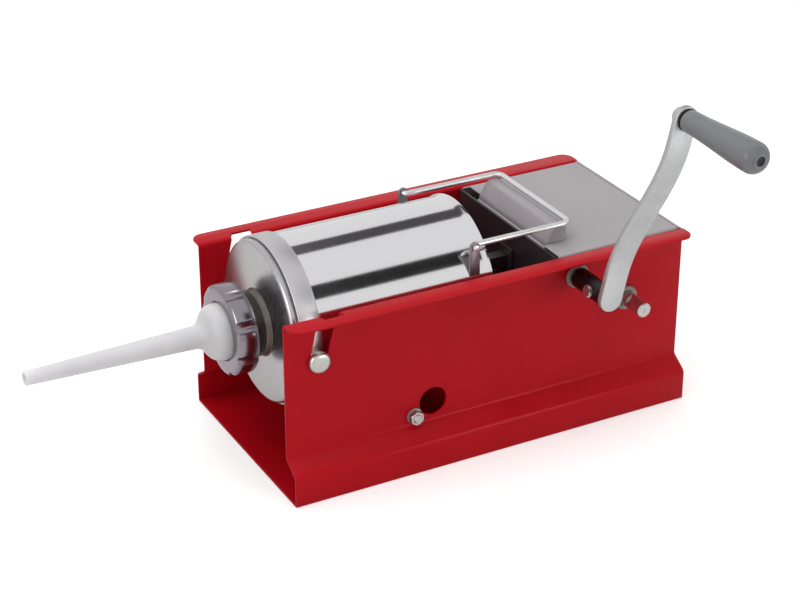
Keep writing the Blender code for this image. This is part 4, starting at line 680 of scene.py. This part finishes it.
# Blackened steel for the gears and the crank's sleeve; on the grip's bolt and washer it is painted shade.
dark_steel, tree, shader = start_material("steel_blackened_oiled_and_painted_shade", "3A3736", 0.36, 1.0)
oil = add_noise(tree, 150.0, 4.0)
vary_gloss(tree, shader, oil, 0.28, 0.50)
vary_colour(tree, shader, oil, "2C2A2A", "4B4745")
dress(gear_steel, "slow_pinion", "rack_pinion", "rack")
dress(dark_steel, "fast_gear", "slow_retaining_ring", "fast_retaining_ring")
dress(zinc, "near_spacer_tube", "far_spacer_tube", "stop_collar", "plunger_screw")

# Plunger. Black moulded nylon with a dished back, a boss for the rack and a groove for its seal. It
# works inside the cylinder, so its solid is kept as it is.
black_nylon, tree, shader = start_material("nylon_moulded_black", "1E1C1D", 0.40)
add_relief(tree, shader, add_noise(tree, 900.0, 2.0), 0.15, 0.0002)
dress(black_nylon, "plunger")

# Bail. A 5.4 mm rod bent to a long loop, its ends turned out through the ears, so that it swings up
# and frees the cylinder.
BAIL_R = 0.0027
bright_zinc, tree, shader = start_material("steel_rod_bright_zinc", "E2E1E2", 0.40, 0.9)
vary_gloss(tree, shader, add_noise(tree, 240.0, 3.0), 0.32, 0.48)


def rounded_path(points, radii, steps=6):
    """A flat path with each of its inner corners made an arc."""
    path = [Vector(points[0])]
    for before, corner, after, radius in zip(points, points[1:], points[2:], radii):
        corner = Vector(corner)
        one = (Vector(before) - corner).normalized()
        two = (Vector(after) - corner).normalized()
        half = one.angle(two) / 2
        start, end = corner + one * radius / math.tan(half), corner + two * radius / math.tan(half)
        hub = corner + (one + two).normalized() * radius / math.sin(half)
        for i in range(steps + 1):
            path.append(hub + (start - hub).lerp(end - hub, i / steps).normalized() * radius)
    path.append(Vector(points[-1]))
    return path


cross_x, arm_y, end_y = FRONT + 0.298, 0.062, 0.0705
corners = [(PIVOT_X, end_y), (PIVOT_X, arm_y), (cross_x, arm_y), (cross_x, -arm_y), (PIVOT_X, -arm_y),
           (PIVOT_X, -end_y)]
path = rounded_path(corners, (0.0029, 0.008, 0.008, 0.0029))
bail = start_piece("bail_loop", (*path[0], PIVOT_Z))
draw_line([(*p, PIVOT_Z) for p in path])
bpy.ops.object.mode_set(mode="OBJECT")
bpy.ops.object.convert(target="CURVE")
bail = bpy.context.object
bail.data.bevel_depth = BAIL_R
bail.data.bevel_resolution = 6
bail.data.use_fill_caps = True
bpy.ops.object.convert(target="MESH")
bail = bpy.context.object
face_out(bail)
round_edges(bail, 0.0004)
hand_over(bail, bright_zinc, "bail", "zinc_steel", "bail_rod")

# Bracket. Steel sheet folded to a sloping front and a top, with a welded wing at each end. It stands on
# the cover, hooks in front of its edge, and the bail's crossbar lies on it.
bracket_steel, tree, shader = start_material("steel_sheet_zinc_dull", "989297", 0.42, 0.12)
vary_gloss(tree, shader, add_lines(tree, (900.0, 30.0, 900.0), 3.0), 0.30, 0.46)
PLATE_X = FRONT + 0.27595
PLATE_REAR = PLATE_X + 0.0195
BRACKET_TOP, BRACKET_Y, BRACKET_SHEET = 0.18425, 0.060, 0.0015
corners = [(x, -BRACKET_Y, z) for x, z in ((PLATE_X, 0.1635), (PLATE_X, 0.1695), (PLATE_X + 0.0092, BRACKET_TOP),
                                           (PLATE_REAR, BRACKET_TOP))]
bracket = folded_sheet("bail_rest", corners, (0, 2 * BRACKET_Y, 0), BRACKET_SHEET, 0.0024)
apply_all(bracket)
face_out(bracket)
round_edges(bracket, 0.0003)
wing = ((PLATE_X - 0.0003, 0.1640), (PLATE_X + 0.0027, 0.1640), (PLATE_X + 0.0027, 0.1703),
        (PLATE_REAR, 0.1703), (PLATE_REAR, 0.1843), (PLATE_X + 0.0094, 0.1843), (PLATE_X - 0.0001, 0.1694))
for side in (-1, 1):
    outline = [(x, side * BRACKET_Y, z) for x, z in wing]
    cut_with(bracket, prism("wing", outline, (0, -side * BRACKET_SHEET, 0)), "UNION")
# Its lower edge is folded over forwards to a round hem
outline = [(x, -0.0598, z) for x, z in arc_points((PLATE_X - 0.0009, 0.1653), 0.0019, 0, 345, 23)]
cut_with(bracket, prism("hem", outline, (0, 0.1196, 0)), "UNION")
face_out(bracket)
hand_over(bracket, bracket_steel, "frame", "satin_steel", "bail_bracket")

# Crank. A flat bar of 22 by 6 mm stepped outwards, welded to a dark sleeve that a hexagon screw holds
# on the shaft's flat. Zinc plated.
LEAN = math.radians(13)
CRANK_R = 0.180
along_arm = Vector((math.sin(LEAN), 0, math.cos(LEAN)))
across_arm = Vector((math.cos(LEAN), 0, -math.sin(LEAN)))
BAR_Y = -0.143
HALF_BAR, BAR_SHEET = 0.0111, 0.006
foot = Vector((SLOW_SHAFT[0], BAR_Y, SLOW_SHAFT[1]))
STEP_OUT = 0.037            # the grip's end of the bar lies this much further out
STEP_START, STEP_LENGTH = 0.022, 0.136
STEP_COUNT = 24
stations = [(-HALF_BAR, 0.0), (0.011, 0.0)]
for i in range(STEP_COUNT + 1):
    reach = STEP_START + STEP_LENGTH * i / STEP_COUNT
    share = (reach - STEP_START) / STEP_LENGTH
    stations.append((reach, STEP_OUT * share * share * (3 - 2 * share)))
stations.append((CRANK_R + HALF_BAR, STEP_OUT))
line = [foot + along_arm * reach + Vector((0, -out, 0)) - across_arm * HALF_BAR for reach, out in stations]
arm = start_piece("crank_bar", line[0])
draw_line(line)
bpy.ops.mesh.select_all(action="SELECT")
bpy.ops.mesh.extrude_region_move(TRANSFORM_OT_translate={"value": across_arm * 2 * HALF_BAR})
ends = (-HALF_BAR, CRANK_R + HALF_BAR)
choose(arm, verts=lambda v: min(abs((v.co - foot).dot(along_arm) - end) for end in ends) < 0.0001)
bpy.ops.mesh.bevel(offset=0.01105, segments=10, affect="VERTICES")
bpy.ops.mesh.select_all(action="SELECT")
bpy.ops.mesh.normals_make_consistent(inside=False)
bpy.ops.object.mode_set(mode="OBJECT")
solid = arm.modifiers.new("thickness", "SOLIDIFY")
solid.thickness = BAR_SHEET
solid.offset = 0
solid.use_even_offset = True
apply_all(arm)
face_out(arm)
round_edges(arm, 0.0008, 3)
grip_point = foot + along_arm * CRANK_R
drill(arm, (grip_point.x, -0.180, grip_point.z), 0.0043, 0.02, "Y", 48)
plated, tree, shader = start_material("steel_bar_zinc_dull", "BEBFC0", 0.42, 0.85)
bloom = add_noise(tree, 70.0, 5.0, 0.6)
vary_gloss(tree, shader, bloom, 0.34, 0.52)
vary_colour(tree, shader, bloom, "C6C8C9", "B2B3B4")
hand_over(arm, plated, "crank", "zinc_steel", "crank_arm")

hub_place = (SLOW_SHAFT[0], 0, SLOW_SHAFT[1])
SLEEVE_R, SCREW_R = 0.0096, 0.0030
profile = [(-0.1397, 0.0071), (-0.1397, SLEEVE_R), (-0.0958, SLEEVE_R), (-0.0950, SLEEVE_R - 0.0008),
           (-0.0950, 0.0078), (-0.0957, 0.0071)]
hub = turned("crank_sleeve", profile, hub_place, "Y", 64)
screw_way = Vector((-math.cos(LEAN), 0, math.sin(LEAN)))
screw_foot = Vector((SLOW_SHAFT[0], -0.1247, SLOW_SHAFT[1]))
bpy.ops.object.select_all(action="DESELECT")
bpy.ops.mesh.primitive_cylinder_add(vertices=32, radius=SCREW_R + 0.0001, depth=0.012,
                                    location=screw_foot + screw_way * 0.010, rotation=(0, math.pi / 2 + LEAN, 0))
cut_with(hub, bpy.context.object)
hand_over(hub, dark_steel, "crank", "dark_steel", "crank_hub")
profile = [(-0.1401, SLEEVE_R), (-0.1401, 0.0114), (-0.1395, 0.0112), (-0.1388, 0.0106), (-0.1384, 0.0098),
           (-0.1384, 0.0097)]
bead = turned("crank_weld", profile, hub_place, "Y", 64)
hand_over(bead, dark_steel, "crank", "dark_steel")
head = hex_piece("crank_screw", (0, 0, 0), 0.010, 0.0099, 0.0036, "X")
bpy.ops.object.select_all(action="DESELECT")
bpy.ops.mesh.primitive_cylinder_add(vertices=32, radius=SCREW_R, depth=0.0060, location=(0.0086, 0, 0),
                                    rotation=(0, math.pi / 2, 0))
cut_with(head, bpy.context.object, "UNION")
head.rotation_euler = (0, LEAN + math.pi, 0)
head.location = screw_foot
bpy.ops.object.select_all(action="DESELECT")
head.select_set(True)
bpy.context.view_layer.objects.active = head
bpy.ops.object.transform_apply(location=True, rotation=True, scale=True)
hand_over(head, zinc, "crank", "zinc_steel", "crank_set_screw")

# Grip. Grey moulded plastic that widens to a rounded end, free to spin on a shouldered bolt. The bolt's
# head sits in a recess, and a washer and a nut hold it at the arm.
grip_plastic, tree, shader = start_material("polypropylene_moulded_grey", "6C6D71", 0.30)
add_relief(tree, shader, add_noise(tree, 1100.0, 2.0), 0.30, 0.0002)
vary_gloss(tree, shader, add_noise(tree, 45.0, 4.0), 0.24, 0.40)
GRIP_START = -0.1851
GRIP_LENGTH = 0.098
NECK_R, SWELL = 0.0100, 0.0038
SWELL_START, SWELL_LENGTH = 0.0030, 0.0850
profile = [(0.0, 0.0041), (0.0, 0.0088), (0.0012, 0.0096), (SWELL_START, NECK_R)]
for i in range(1, 13):
    share = i / 12
    profile.append((SWELL_START + SWELL_LENGTH * share, NECK_R + SWELL * share * share * (3 - 2 * share)))
profile += [(0.0880 + along, 0.0036 + radius) for along, radius in arc_points((0, 0), 0.0102, 90, 20, 8)][1:]
# A thin lip closes the recess over the bolt's head, but for a small hole
profile += [(GRIP_LENGTH, 0.0072), (GRIP_LENGTH, 0.0046), (0.0976, 0.0041), (0.0966, 0.0041), (0.0966, 0.0068),
            (0.0920, 0.0068), (0.0920, 0.0041)]
profile = [(-along, radius) for along, radius in profile]
grip_place = (grip_point.x, GRIP_START, grip_point.z)
grip = turned("hand_grip", profile, grip_place, "Y", 72)
hand_over(grip, grip_plastic, "grip", "grey_plastic", "crank_grip")
axle_place = (grip_point.x, 0, grip_point.z)
head_y = GRIP_START - GRIP_LENGTH + 0.006 - FIT      # the bolt's head bears on the recess's floor
profile = [(head_y - 0.0024, 0), (head_y - 0.0040, 0.0010), (head_y - 0.0040, 0.0052), (head_y - 0.0034, 0.0060),
           (head_y, 0.0060), (head_y, 0.0040), (-0.1690, 0.0040), (-0.1683, 0.0033), (-0.1683, 0)]
axle = turned("grip_bolt", profile, axle_place, "Y", 48, closed=False)
# The bolt is zinc plated; its blackened steel is painted shade, in the grip's recess.
hand_over(axle, dark_steel, "crank", "zinc_steel", "grip_axle")
profile = [(-0.1833, 0.0043), (-0.1833, 0.0100), (-0.1848, 0.0100), (-0.1848, 0.0043)]
washer = turned("grip_plate_washer", profile, axle_place, "Y", 48)
round_edges(washer, 0.0003)
# The washer is zinc plated; its blackened steel is painted shade, between the grip and the arm.
hand_over(washer, dark_steel, "crank", "zinc_steel", "grip_washer")
nut = hex_piece("grip_lock_nut", axle_place, 0.013, -0.1767, 0.0065)
drill(nut, (axle_place[0], -0.1735, axle_place[2]), 0.0043, 0.02, "Y", 32)
hand_over(nut, zinc, "crank", "zinc_steel", "grip_nut")
